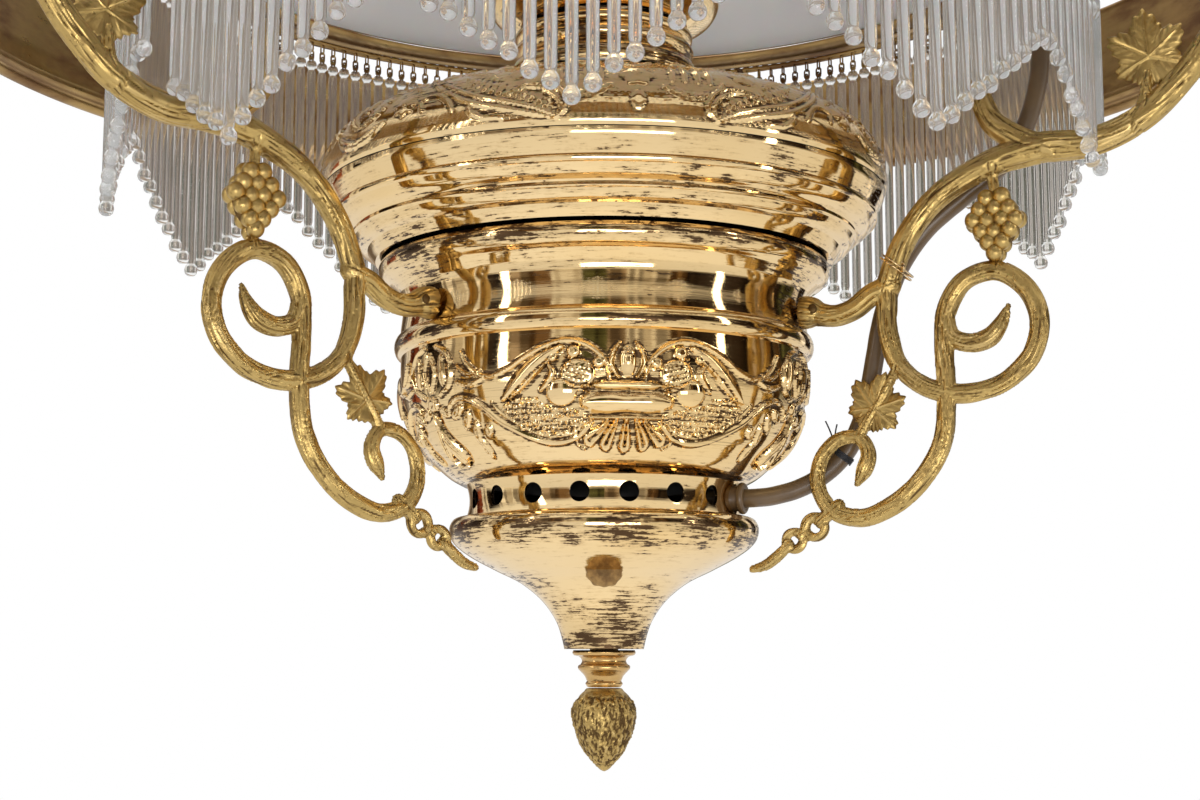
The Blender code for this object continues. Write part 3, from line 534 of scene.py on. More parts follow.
def vase_design(angles, outline):
    """Rosettes between scrolls, a cartouche over a shell in the middle, and tulips where the repeats meet."""
    degrees, index = half_repeat(angles)
    e = Emboss(degrees, outline[:, 1], 1.2)
    e.stipple([(29, 82), (24, 82), (22, 79.6), (17, 78.2), (12, 77.4), (8.6, 74), (11, 71.6), (15, 70),
               (22, 69.8), (28, 72), (32, 75.4), (35, 78.6), (33, 81)], 0.95)
    e.stroke([(17, 97.4, 1.2), (21, 95, 2.3), (25, 91.4, 2.7), (29, 87, 2.2), (32, 83.6, 1.5),
              (34, 81.6, 0.5)], 1.9)
    e.stroke([(20, 93.4, 0.5), (24.4, 89, 0.9), (28.6, 84.6, 0.8), (31.6, 82, 0.4)], 1.9)
    e.stroke([(4.6, 87.4, 0.7), (5, 91, 0.9), (7.6, 95.4, 1), (11, 98.2, 1.1), (15, 99.4, 1.2),
              (20.4, 98.2, 1.1), (26.4, 94.8, 1.1), (32, 91, 1), (37, 89.4, 0.9), (41.6, 91, 1),
              (44.6, 94.2, 0.9), (46.6, 98.4, 0.6)], 1.3)
    e.stroke([(40.6, 91.2, 0.7), (45, 91.2, 0.9), (48.4, 94, 0.6)], 1.2)
    e.stroke([(39, 89.4, 0.7), (44, 87.4, 1), (48.6, 88.8, 0.6)], 1.2)
    e.stroke([(10, 73, 0.7), (12.4, 70.8, 0.9), (17.2, 68.8, 1.1), (22.6, 68.6, 1.2), (27.6, 70.2, 1.2),
              (32.2, 72.8, 1.2), (36.8, 76, 1.2), (40, 79.6, 1.1), (44.4, 82.8, 1.1), (49.6, 83.6, 1),
              (52.6, 81.8, 0.9), (53.4, 79, 0.7)], 1.35)
    e.stroke([(11.6, 74, 0.5), (14.4, 71.4, 0.6), (18, 70.4, 0.6), (22.6, 70.4, 0.6), (27, 72, 0.6),
              (31.4, 74.8, 0.6), (35.4, 78, 0.6), (37.6, 81, 0.5)], 0.8)
    for t in (14.2, 19.4, 24.6, 29.4):
        e.blob(t, 70.8 + 0.022 * (t - 19.5) ** 2, 1.0, 0.8, 1.15)
    e.blob(17.4, 83.4, 5.0, 4.4, 1.9)
    e.stroke([(20.4, 92, 0.8), (19.4, 89.4, 1.3), (20.6, 86.6, 1.2), (22.8, 84, 0.7)], 1.6)
    e.blob(12.9, 88.6, 5.4, 5.2, 1.5, dish=0.35)
    for k in range(-3, 4):
        e.stroke([(12.9 - 3.2, 88.6 + 1.5 * k - 1, 0.3), (12.9 + 3.2, 88.6 + 1.5 * k + 1, 0.3)],
                  1.62 - 0.08 * k * k)
    e.stroke([(16, 86.6, 0.6), (13.4, 85, 0.8), (10, 85.6, 0.6)], 2.0)
    for t, y, size in ((7.4, 92.4, 1.9), (13.9, 95.9, 2.1), (19.4, 94.2, 1.5)):
        e.blob(t, y, size, size, 1.7, dish=0.2)
    e.stroke([(-2, 80.3, 3.1), (9, 80.3, 3.1), (11, 80.3, 2.2)], 2.1)
    e.stroke([(-2, 85.4, 1.4), (7.4, 85.4, 1.4), (8.6, 85.4, 0.8)], 1.7)
    e.stroke([(-2, 75.6, 0.8), (9.8, 75.6, 0.8)], 1.3)
    e.blob(0, 92.6, 2.5, 5.0, 1.1)
    e.blob(0, 92.8, 1.6, 3.6, 1.9)
    e.stroke([(2.4, 87.6, 0.7), (4.2, 91.4, 1.0), (3.8, 95.4, 0.9), (2, 98.8, 0.5)], 1.3)
    for t, low in ((0, 67.6), (5.6, 68.0), (10.4, 69.2)):
        e.stroke([(t * 0.5, 74.2, 0.7), (t * 0.74, 71.4, 1.3), (t, low, 1.95)], 1.5, double=True)
    e.stroke([(9.4, 74, 0.6), (12.4, 71.6, 0.7), (14, 68, 0.6), (12.2, 66.6, 0.5)], 1.2)
    e.stroke([(57.2, 101.6, 0.6), (53.4, 99.6, 1.1), (50.6, 94.4, 1.1), (51.8, 88.4, 1.1), (56, 85.4, 0.7)],
              1.3)
    e.blob(54.4, 93.6, 1.9, 5.6, 1.45)
    e.stroke([(59.6, 99, 0.5), (57.6, 93, 1.0), (59.4, 87, 0.6)], 1.2)
    e.blob(60, 82.8, 2.6, 2.4, 1.8, dish=0.4)
    for t, y, long, tilt in ((50.4, 79.4, 3.6, 150), (47.4, 76.6, 3.6, 128), (45, 72.6, 3.8, 108),
                             (44.6, 67.6, 3.2, 92), (55.6, 80, 2.8, 30), (40.6, 73, 2.0, 120)):
        e.blob(t, y, long, 1.5, 1.5, tilt=tilt, dish=0.4)
    e.stroke([(60, 80, 0.7), (60, 75, 1.4), (58.4, 70.4, 2.0), (56.4, 66.6, 1.3), (57.4, 64, 0.4)], 1.6,
              double=True)
    e.blob(60, 68.2, 1.6, 4.4, 1.4)
    height, deep = e.finished(index)
    return vase_wear(height, deep, angles, outline)


def font_design(angles, outline):
    """Long leaves that meet over the plain band, and roses, ribbed ruffs and small flowers up to the neck."""
    degrees, index = half_repeat(angles)
    run = np.r_[0, np.cumsum(np.linalg.norm(np.diff(outline, axis=0), axis=1))]
    e = Emboss(degrees, run, 1.6)
    e.stipple([(0, 46), (60, 46), (60, 78), (44, 68), (33, 77), (14, 84), (0, 78)], 0.16, pitch=1.9)
    e.stroke([(14.4, 85.4, 0.5), (19, 82.6, 1.6), (24, 80.2, 1.9), (29.5, 77.6, 2), (34, 74, 1.9),
              (38.5, 69, 1.7), (43, 62.5, 1.3)], 1.0, double=True)
    e.stroke([(14.4, 85, 0.5), (13.2, 81.6, 1.5), (14, 78, 1.6), (16.6, 74.8, 1.4), (20.4, 74, 1.1),
              (23, 76.4, 0.9)], 1.0, double=True)
    e.stroke([(15.5, 83.6, 0.6), (18.6, 79.2, 2.4), (23.5, 75.4, 3), (29, 71.6, 2.6), (33.5, 66.5, 0.8)],
              0.9, ribs=2.6)
    e.stroke([(24.5, 84.4, 0.7), (28.6, 83.4, 1), (31, 80, 1.1), (29.8, 77.4, 0.9)], 0.75)
    e.stroke([(34.6, 79.4, 0.9), (36.2, 75.4, 1.2), (39.5, 72.6, 1.2), (42.4, 74.6, 1), (41.6, 77.6, 0.8)],
              0.8)
    e.stroke([(5, 74.4, 1.2), (9.6, 77.4, 1.8), (14.6, 75.6, 1.2), (16.8, 71, 0.8)], 0.9, ribs=2.2)
    for t in (6.5, 9, 11.5, 14):
        e.stroke([(t, 71.8, 0.8), (t + 0.5, 66, 1.1), (t + 0.2, 61, 0.6)], 0.75)
    e.blob(0, 69, 5.2, 5.6, 1.0, petals=6, dish=0.35)
    e.blob(0, 69, 1.8, 1.9, 1.25)
    e.blob(0, 79.6, 2.2, 3.6, 0.85, dish=0.3)
    e.blob(46.6, 74, 4.9, 4.9, 0.9, petals=8, dish=0.2)
    e.blob(46.6, 74, 3, 3, 1.2, petals=5, dish=0.5)
    e.blob(46.6, 74, 1.1, 1.1, 1.4)
    e.stroke([(60, 83.4, 1.1), (55, 81.5, 1.5), (51.6, 78.4, 0.8)], 0.9, double=True)
    e.stroke([(60, 77.5, 1), (56, 74, 2.3), (52.6, 67, 2.7), (54.6, 60, 1)], 0.95, ribs=2.8)
    e.blob(60, 67.4, 2.2, 4.6, 0.95, dish=0.3)
    for t, y, size in ((22, 66.4, 4.2), (40.5, 58, 4.4), (10, 54.6, 3.6), (28, 54, 3.8), (58, 53.6, 4.2)):
        e.blob(t, y, size, size * 0.9, 0.85, petals=5, dish=0.4)
        e.blob(t, y, 1.1, 1.1, 1.1)
    for line in ([(26, 70, 0.8), (31, 63.5, 2.3), (36, 60, 0.7)],
                  [(15, 59, 0.7), (20, 55, 2.1), (24, 57.5, 0.6)],
                  [(33, 55.5, 0.7), (37, 51, 1.9), (43, 51.5, 0.6)],
                  [(46, 62, 0.7), (50, 58, 2.1), (52, 52, 0.6)],
                  [(0, 60.5, 0.8), (3.4, 56, 1.9), (4.4, 50.5, 0.6)],
                  [(44, 68.8, 0.5), (47, 65, 1.8), (51, 64, 0.5)]):
        e.stroke(line, 0.8, ribs=2.2)
    for t in np.arange(1.5, 60, 3.0):
        e.blob(t, 45.2, 1.7, 2.1, 0.6)
    e.stroke([(-1, 42.4, 0.6), (30, 42.4, 0.6), (61, 42.4, 0.6)], 0.5)
    return e.finished(index)


# -------------------------------------------------- font, burner cup, vase and finial

FONT_TOP = [(30.6, 203.2), (33.4, 202), (33.4, 202), (36.6, 199.6), (45, 196.3), (60, 192.2), (74, 188.6),
            (84.7, 184.9), (92.6, 180.2), (97.2, 174.2), (99.5, 167.5), (99.5, 162.2), (99.0, 161.3)]
FONT_BOTTOM = [
    (98.9, 161), (98.6, 159.4), (97.4, 156.8), (95.6, 153.4), (95.6, 153.4), (96.2, 152.6), (95.9, 151.4),
    (94.9, 150.9), (94.9, 150.9), (93, 148.6), (89.6, 147), (89.6, 147), (88.8, 146.4), (89, 145.2),
    (88, 144.6), (88, 144.6), (86.4, 142.4), (83.2, 141), (83.2, 141), (82.6, 140), (80.4, 137.2),
    (80.4, 137.2), (67.4, 136.9), (67.4, 136.9), (66.6, 128), (62, 108), (50, 90), (30, 80), (9, 77.5)]
NECK = [
    (30, 222), (31.4, 221.4), (31.8, 220), (31.2, 218.4), (30.2, 217.5), (30.2, 217.5), (31.6, 216.2),
    (32.2, 214.5), (31.6, 212.8), (30.8, 211.5), (30.8, 211.5), (32, 210), (33, 208), (33, 205.8),
    (32.4, 203.9)]
CUP = [(43.5, 243), (43.6, 241.8), (42.2, 240), (42.2, 240), (41.8, 236), (41, 231), (39, 228), (36, 226),
       (30, 223.4), (30, 223.4), (7.3, 223.4)]
VASE = [
    (78.5, 136.2), (79.2, 135), (79.1, 132.4), (78.4, 131), (75, 128.6), (75, 128.6), (73.4, 127.2),
    (71.6, 125.5), (71.6, 125.5), (71.3, 124.8), (71.3, 111), (71.3, 111), (72.4, 110.2), (73.2, 108.6),
    (73.2, 105.6), (72.4, 104), (71, 103.2), (71, 103.2), (71.1, 99), (70.6, 91), (69.4, 84), (67.4, 78),
    (64, 71.6), (58.2, 65.9), (53, 61.6), (49.2, 59.5), (49.2, 59.5), (30, 59.5), (6.5, 59.5)]
FUNNEL = [
    (10, 48.3), (49, 48.3), (49, 48.3), (52.2, 47.4), (53.5, 45.2), (53.5, 42.6), (52.6, 40.2),
    (50.2, 37.6), (47, 35.3), (38, 30.4), (28, 25.3), (20.4, 18.6), (16.2, 12), (14.4, 6.4), (13.7, 3.3)]
COLLAR = [
    (5.2, 2.9), (10.6, 2.9), (10.6, 2.9), (10.9, 2), (10.4, 1.2), (10.4, 1.2), (8.4, 0.6), (7.6, -0.8),
    (8.1, -1.9), (8.1, -1.9), (8.9, -2.4), (8.9, -3.4), (8.2, -4.2), (8.2, -4.2), (6.6, -6), (5.9, -7.6),
    (5.9, -7.6), (6.4, -8.4), (5.9, -9.4), (5.7, -9.7)]
ACORN = [
    (4.2, -10), (6.2, -10.2), (6.8, -11), (6.8, -11), (8.6, -12.6), (10.5, -15), (11.3, -18.4), (10.9, -22),
    (9.6, -26), (7.9, -30), (5.6, -33.4), (3.2, -36), (1.4, -37.6), (0.3, -38.1)]
GALLERY_R, GALLERY_LOW, GALLERY_HIGH = 47.8, 48.2, 59.5
AIR_HOLES, AIR_HOLE_R, AIR_HOLE_Z = 18, 3.4, 53.9
GALLERY_COVE = 1.1               # how far the perforated band is drawn in at its middle
SHEET = 1.2                      # thickness of the spun brass
DESIGN_STEPS = 1200              # columns round an embossed body
CABLE_HOLE_ANGLE, CABLE_HOLE_R = 340.0, 5.0


def rough(angles, outline, scale, seed=0.0):
    """Noise over a turned surface, from about -1 to 1."""
    points = rings(outline, len(angles)) * scale + (seed, 0, 0)
    return np.array([[noise.fractal(point, 1, 2, 4) for point in row] for row in points])


def acorn_grain(angles, outline):
    """Rough, upright grain with wear, dark in its grooves."""
    z = outline[:, 1, None]
    upright = outline * np.array([1, 0.3])
    coarse = rough(angles, upright, 0.5)
    fine = rough(angles, upright, 1.15, 20.0)
    pits = rough(angles, outline, 1.3, 40.0)
    body = np.clip((-z - 11.4) / 2, 0, 1) * np.clip((z + 38) / 3, 0, 1)
    height = (0.34 * coarse + 0.34 * fine + 0.2 * pits - 0.25) * body
    return np.minimum(height, 0.3), np.clip((0.5 - 1.1 * fine - 0.7 * coarse - 0.5 * pits) * body + 0.1, 0, 1)


def funnel_wear(angles, outline):
    """Tarnish at the funnel's foot and round its shoulder, and none of it raised; its top plate inside the
    gallery is painted near black as shade.
    """
    z = outline[:, 1, None]
    shoulder = np.clip((z - 31) / 8, 0, 1) * np.clip((49 - z) / 4, 0, 1)
    near = 0.5 * np.clip((16 - z) / 9, 0, 1) + 0.43 * shoulder
    patch = rough(angles, outline * np.array([1, 2.0]), 0.06, 5.0)
    # Painted shade: the top plate inside the gallery is painted near black.
    inside = (outline[:, 0, None] < 48.6) & (z > 48)
    return 0 * patch, np.where(inside, 1.0, np.clip(near * (0.95 + 0.75 * patch), 0, 0.6))


def vase_wear(height, wear, angles, outline):
    """The vase's design with tarnish at its foot, its rim and the beads added, and its bottom painted near
    black as shade.
    """
    r, z = outline[:, 0, None], outline[:, 1, None]
    near = (0.3 * np.clip((66 - z) / 6, 0, 1) + 0.34 * np.clip((z - 129) / 3, 0, 1)
            + 0.42 * np.clip(1 - np.abs(z - 106.5) / 3, 0, 1) + 0.1)
    patch = rough(angles, outline * np.array([1, 2.0]), 0.055, 9.0)
    # Painted shade: the vase's flat bottom over the gallery is painted near black.
    under = (r < 46.5) & (z < 61)
    return height, np.where(under, 1.0, np.maximum(wear, np.clip(near * (0.9 + 0.8 * patch), 0, 0.6)))


def font_wear(angles, outline):
    """Tarnish that the polishing cloth missed along the font's steps."""
    patch = rough(angles, outline * np.array([1, 2.4]), 0.05, 3.0)
    return 0 * patch, np.clip(0.2 + 0.34 * patch, 0, 0.55)


def make_spun_bodies():
    font_top = spun(FONT_TOP, SHEET, DESIGN_STEPS, 0.45, font_design)
    font_bottom = spun(FONT_BOTTOM, SHEET, 360, 0.7, font_wear)
    vase = spun(VASE, SHEET, DESIGN_STEPS, 0.4, vase_design)
    funnel = spun(FUNNEL, SHEET, 360, 0.6, funnel_wear)
    collar = spun(COLLAR, steps=160, step=0.25, solid=True)
    for name, shape, sharp, finish, body, node in (
            ("font_top_embossed", font_top, 40, GOLD, "font", "font_top"),
            ("font_lower_spinning", font_bottom, 30, GOLD, "font", "font_bottom"),
            ("font_neck_rings", spun(NECK, SHEET, 240, 0.4), 30, GOLD_STREAKED, "font", "font_neck"),
            ("burner_cup_spinning", spun(CUP, 1.1, 240, 0.5, inside=0.3), 30, GOLD, "font", "burner_cup"),
            ("vase_embossed", vase, 40, GOLD_STREAKED, "lamp", "vase_shell"),
            ("funnel_spinning", funnel, 30, GOLD_STREAKED, "lamp", "funnel"),
            ("finial_collar_turning", collar, 30, GOLD_DARK, "lamp", "finial_collar")):
        place(name, shape.mesh(node, sharp), finish, body, "polished_brass", node)
    acorn = spun(ACORN, steps=220, step=0.28, relief=acorn_grain, solid=True)
    place("finial_acorn_casting", acorn.mesh("acorn"), CAST, "lamp", "cast_brass", "finial_acorn")


def gallery_side(radius, rows=6, per_side=12):
    """The perforated band at one radius, as a grid from the hole's rim to the border for each hole."""
    half = TAU * radius / AIR_HOLES / 2
    low, high = GALLERY_LOW - AIR_HOLE_Z, GALLERY_HIGH - AIR_HOLE_Z
    share = np.linspace(0, 1, per_side, endpoint=False)
    x = np.concatenate([half - 2 * half * share, np.full(per_side, -half), 2 * half * share - half,
                        np.full(per_side, half)])
    z = np.concatenate([np.full(per_side, high), high + (low - high) * share, np.full(per_side, low),
                        low + (high - low) * share])
    reach = np.hypot(x, z)
    sides = []
    for k in range(AIR_HOLES):
        middle = k * 360.0 / AIR_HOLES
        hole = CABLE_HOLE_R if abs(middle - CABLE_HOLE_ANGLE) < 1 else AIR_HOLE_R
        start = np.minimum(hole, reach - 0.15) / reach
        share_at = start + (1 - start) * np.linspace(0, 1, rows)[:, None]
        across, up = share_at * x, share_at * z
        cove = radius - GALLERY_COVE * (1 - (2 * (up - low) / (high - low) - 1) ** 2)
        angle = across / radius + math.radians(middle)
        sides.append(around(cove, up + AIR_HOLE_Z, angle))
    return sides


def make_air_gallery():
    shape = Shape()
    for outer, inner in zip(gallery_side(GALLERY_R), gallery_side(GALLERY_R - SHEET)):
        # The inner side is painted near black as shade, seen through the air holes.
        dark = np.repeat([0.0, 1.0], len(outer))[:, None] + np.zeros(outer.shape[1])
        shape.grid(np.concatenate([outer[::-1], inner]), dark, closed=True)
    band = shape.mesh("air_gallery", 35)
    place("air_gallery_band", band, GOLD_STREAKED, "lamp", "polished_brass", "air_gallery")


PATCH_TILT = math.radians(63)
PATCH_MIDDLE = (0, -34.2, 28.4)


def make_funnel_patch():
    """The round soldered patch on the funnel's front, as a shallow disc that follows the slope."""
    shape = Shape()
    outline = np.array([(0.05, 1.2), (2.5, 1.18), (2.9, 1.0), (5.2, 0.95), (5.8, 0.75), (6, 0.2)])
    disc = rings(outline[::-1], 72)
    a = np.arctan2(disc[..., 1], disc[..., 0])
    disc[..., :2] *= (1 + 0.03 * np.sin(11 * a) + 0.02 * np.sin(5 * a))[..., None]
    height = disc[..., 2].copy()
    c, s = math.cos(PATCH_TILT), math.sin(PATCH_TILT)
    disc = disc @ np.array([[1, 0, 0], [0, c, -s], [0, s, c]]).T + np.array(PATCH_MIDDLE)
    shape.grid(disc, np.clip((height - 1.0) * 3, 0, 0.6))
    place("funnel_patch", shape.mesh("funnel_patch", 50), PATCH, "lamp", "dull_brass", "funnel_plug")


# -------------------------------------------------- vine arms

BRANCH = [
    (101, 121, 3.2), (107.5, 137, 3.3), (119, 151.5, 3.4), (136, 161, 4), (152, 165, 4.4), (170, 165.5, 4),
    (186, 172, 3.7), (199, 184, 3.6), (211, 200, 3.5), (223, 218, 3.5), (233, 234, 3.4), (238.6, 243, 3.4)]
PAD_BRANCH = [(103, 123, 3), (97, 120.8, 3.1), (90, 116, 3.1), (83, 114.2, 3.2), (75.5, 115.6, 3.8)]
BIG_LOOP = [(101.5, 120, 3), (101.8, 107, 2.8), (105.5, 96, 2.7), (114.5, 88.2, 2.7), (127, 85.6, 2.7),
            (139.5, 88.6, 2.7), (148.5, 97, 2.7), (151.5, 108, 2.7), (147.6, 119, 2.7), (138, 125.6, 2.7),
            (127.5, 122.8, 2.8), (121.6, 114, 2.8), (120.4, 103, 2.7), (120.4, 95, 2.6)]
STEM = [
    (120.4, 98, 2.6), (120.8, 84, 2.7), (118.6, 69, 2.7), (111.5, 57.5, 2.7), (101, 49.2, 2.7),
    (90, 46, 2.6), (81, 49.3, 2.3), (76.8, 57.5, 2.1), (78.6, 66.8, 2), (85, 72.6, 1.9), (91.6, 72.4, 1.9),
    (94.3, 67, 2.1), (92.6, 61.5, 2.2), (90.3, 57.2, 0.8)]
HOOK = [(121.4, 111, 2.3), (123, 104.6, 2.5), (129, 102.2, 2.6), (135.6, 104, 2.7), (139.4, 108.6, 1.9),
        (141.6, 113.8, 0.7)]
TAIL = [(66.8, 37.6, 1.6), (62, 33.6, 1.6), (57.8, 30.8, 1.4), (53.8, 29.8, 1)]
STUB = [(156, 164.5, 3.6), (146, 169, 3.6), (137.5, 176.5, 3.4), (134.3, 185.5, 3), (135.8, 196.3, 3)]
LEAF_STALK = [(183, 170, 1.8), (186.5, 177, 1.6), (188, 186, 1.4)]
LEAF_RIB = [(91, 72.6, 1.6), (96.6, 82, 1.5), (105, 96, 1.5)]
EYE_RIB = [(84, 50.5, 1.8), (77.5, 45, 1.8)]
GRAPE_STALK = [(137.6, 161, 1.5), (138.2, 149, 1.4), (138.2, 126, 1.4)]
EYES = [(75.8, 43.3, 3.4, 1.6), (68.4, 39, 3, 1.5)]          # r, z, ring radius, wire
LEAVES = [(96.6, 82, 12.4, 70), (188.6, 191.5, 15.5, 95)]      # hub r and z, reach, middle lobe's direction
GRAPE_MIDDLE = (138.2, 141.0)
GRAPE_ROWS = [(8.6, 2), (4.9, 3), (1.2, 4), (-2.5, 3), (-6.2, 2), (-9.6, 1)]
GRAPE_R = 2.95
PAD_X, PAD_Z, PAD_R = 71.9, 116.0, 5.3
FOOT_Z, FOOT_R = 244.0, 6.0
CAST_VOXEL = 0.45
BAR_FULLNESS = 1.14              # the cast bars swell this much over the radii listed above
BARK_DEPTH = 0.3


def along_x(outline, z, sides=28):
    """An outline of (x, radius) turned about a level line along x at a height."""
    a = circle(sides)[None, :]
    x, r = outline[:, 0, None], outline[:, 1, None]
    return np.stack([x + 0 * a, r * np.cos(a), z + r * np.sin(a)], axis=-1)


def remeshed(shape, voxel, rounds=2):
    """One closed skin over a shape's overlapping solids, in millimetres: its points and its faces."""
    mesh = shape.mesh("to_remesh")
    obj = bpy.data.objects.new("to_remesh", mesh)
    bpy.context.scene.collection.objects.link(obj)
    skin = obj.modifiers.new("skin", "REMESH")
    skin.mode = "VOXEL"
    skin.voxel_size = voxel * MM
    ease = obj.modifiers.new("ease", "SMOOTH")
    ease.factor = 0.6
    ease.iterations = rounds
    made = obj.evaluated_get(bpy.context.evaluated_depsgraph_get()).to_mesh()
    points = np.empty(len(made.vertices) * 3)
    made.vertices.foreach_get("co", points)
    normal = np.empty(len(made.vertices) * 3)
    made.vertices.foreach_get("normal", normal)
    faces = [list(p.vertices) for p in made.polygons]
    bpy.data.objects.remove(obj, do_unlink=True)
    return points.reshape(-1, 3) / MM + (0, 0, DROP), normal.reshape(-1, 3), faces


def arm_path(line, step):
    """Points and radii along a bar given as radius, height and thickness in the arm's plane."""
    return smooth([(r, 0.0, z, w) for r, z, w in line], step)


def add_bark(points, normal, lines):
    """Length-wise grooves and knots pressed into bars that follow the lines; gives moved points and depth."""
    tree_points, tree_frames, run, step = [], [], 0.0, 0.8
    for line in lines:
        path = arm_path(line, step)
        tangents = np.gradient(path[:, :3], axis=0)
        for p, t in zip(path, tangents):
            tree_points.append(p[:3])
            tree_frames.append((run, t / np.linalg.norm(t)))
            run += step
    tree = KDTree(len(tree_points))
    for i, p in enumerate(tree_points):
        tree.insert(p, i)
    tree.balance()
    depth = np.empty(len(points))
    for i, p in enumerate(points):
        _, k, _ = tree.find(p)
        at, t = tree_frames[k]
        d = p - tree_points[k]
        up = d[0] * -t[2] + d[2] * t[0]
        a = math.atan2(d[1], up)
        c, s = math.cos(a), math.sin(a)
        at += d[0] * t[0] + d[2] * t[2]
        fibre = noise.noise((at * 0.05, c * 3.4, s * 3.4 + at * 0.012))
        fine = noise.noise((at * 0.12 + 40, c * 7.5, s * 7.5))
        dot = noise.noise((at * 1.1 + 90, c * 3, s * 3))
        depth[i] = 1.3 * (0.42 - abs(fibre) * 2.8) + 1.0 * fine + 1.6 * max(dot - 0.33, 0)
    depth = np.clip(depth, -1, 1)
    return points - normal * (depth * BARK_DEPTH)[:, None], np.clip(depth * 0.9 + 0.2, 0, 1)


def add_leaf(shape, hub_r, hub_z, reach, direction):
    """A vine leaf in the arm's plane: five toothed lobes, with raised veins and a waved edge."""
    lobes = [(0, 1.0), (54, 0.95), (-54, 0.9), (112, 0.74), (-112, 0.78)]
    a = circle(160)
    away = (np.degrees(a) + 180) % 360 - 180
    rim = np.full(len(a), 0.6)
    for turn_to, size in lobes:
        off = np.abs((away - turn_to + 180) % 360 - 180)
        rim = np.maximum(rim, size * np.clip(1.0 - (off / 34) ** 1.25 * 0.4, 0, 1))
    rim *= reach * (0.95 + 0.1 * np.abs((a * 28 / TAU) % 1 - 0.5) * 2)
    t = np.linspace(0.02, 1, 20)[:, None]
    x, y = t * rim * np.cos(a), t * rim * np.sin(a)
    veins = np.zeros(x.shape)
    for turn_to, size in lobes:
        c, s = math.cos(math.radians(turn_to)), math.sin(math.radians(turn_to))
        u, v = x * c + y * s, -x * s + y * c
        main = np.exp(-((v / 0.42) ** 2)) * (u > 0) * (u < reach * size * 0.95)
        side = np.clip(np.cos((u - np.abs(v) * 1.1) * TAU / 2.9), 0, 1) ** 3
        side *= (np.abs(v) < u * 0.5) * (u > 1.5) * 0.45
        veins = np.maximum(veins, np.maximum(main, side))
    wave = 0.9 * np.sin(a * 5 + 0.6)[None, :] * t**2 + 0.5 * np.cos(a)[None, :] * t**2
    body = np.clip(1 - t**6, 0, 1) ** 0.5 * (0.75 + 0.25 * (1 - t))
    front = wave + body + 0.42 * veins * (1 - t**8)
    back = wave - body - 0.3 * veins * (1 - t**8)
    c, s = math.cos(math.radians(direction)), math.sin(math.radians(direction))

    def in_plane(height):
        return np.stack([hub_r + x * c - y * s, -height, hub_z + x * s + y * c], axis=-1)

    low = np.clip(0.75 - veins * 1.2, 0, 1) * np.clip(t * 1.5, 0.3, 0.8)
    both = np.concatenate([in_plane(front), in_plane(back)[::-1]])[::-1]
    shape.grid(both, np.concatenate([low, low[::-1]])[::-1])


def add_grapes(shape):
    r, z = GRAPE_MIDDLE
    ball(shape, (r, 0, z + 0.4), (7.4, 2.6, 9.6), 14, 24, 0.9)
    reach = (GRAPE_R, GRAPE_R, GRAPE_R + 0.1)
    for k, (lift, count) in enumerate(GRAPE_ROWS):
        for i in range(count):
            x = r + (i - (count - 1) / 2) * 4.6
            for side in (-1, 1):
                jog = 0.25 * math.sin(3 * i + 5 * k + side)
                ball(shape, (x + jog, side * 1.9, z + lift + jog), reach, 10, 16, 0.12)


def make_arms():
    """One casting, shared by the three arms."""
    bars = [BRANCH, PAD_BRANCH, BIG_LOOP, STEM, HOOK, TAIL, STUB, LEAF_STALK, LEAF_RIB, EYE_RIB, GRAPE_STALK]
    solid = Shape()
    for line in bars:
        path = arm_path(line, 1.0)
        sweep(solid, path[:, :3], path[:, 3] * BAR_FULLNESS, 16)
        for end in (path[0], path[-1]):
            ball(solid, end[:3], (end[3] * BAR_FULLNESS,) * 3, 8, 12)
    a = circle(28)
    for r, z, radius, wire in EYES:
        loop = np.stack([r + radius * np.cos(a), 0 * a, z + radius * np.sin(a)], axis=1)
        sweep(solid, loop, wire, 12, closed=True)
    pad = smooth([(PAD_X, 0.1), (PAD_X, PAD_R), (PAD_X, PAD_R), (74.4, PAD_R), (77.4, 4.6), (79.6, 2.8),
                  (80.2, 0.1)], 0.6)
    solid.grid(along_x(pad, PAD_Z))
    foot = smooth([(237.6, 0.1), (237.8, 4.4), (238.6, FOOT_R), (238.6, FOOT_R), (242.1, FOOT_R),
                   (242.1, FOOT_R), (242.1, 0.1)], 0.8)
    solid.grid(along_x(foot, FOOT_Z))
    points, normal, faces = remeshed(solid, CAST_VOXEL)
    points, depth = add_bark(points, normal, bars)
    by_vase = (points[:, 0] < 74) & (np.abs(points[:, 2] - PAD_Z) < 8)
    points[:, 0] = np.where(by_vase, np.maximum(points[:, 0], PAD_X), points[:, 0])
    casting = Shape().add(points, faces, depth)
    for leaf in LEAVES:
        add_leaf(casting, *leaf)
    add_grapes(casting)
    # Painted shade: a dark dot on each side of the pad stands for a small recess.
    for side in (-1, 1):
        ball(casting, (77.0, side * 4.4, PAD_Z + 0.3), (1.7, 0.9, 1.7), 6, 14, 1.0)
    mesh = casting.mesh("vine_arm", 50)
    for side, angle in ARM_ANGLES.items():
        obj = place(f"vine_arm_{side}_casting", mesh, CAST, "", "cast_brass", f"vine_arm_{side}")
        obj.rotation_euler.z = math.radians(angle)
        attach(obj, "lamp")


# -------------------------------------------------- outer ring, carrier, braid and shade

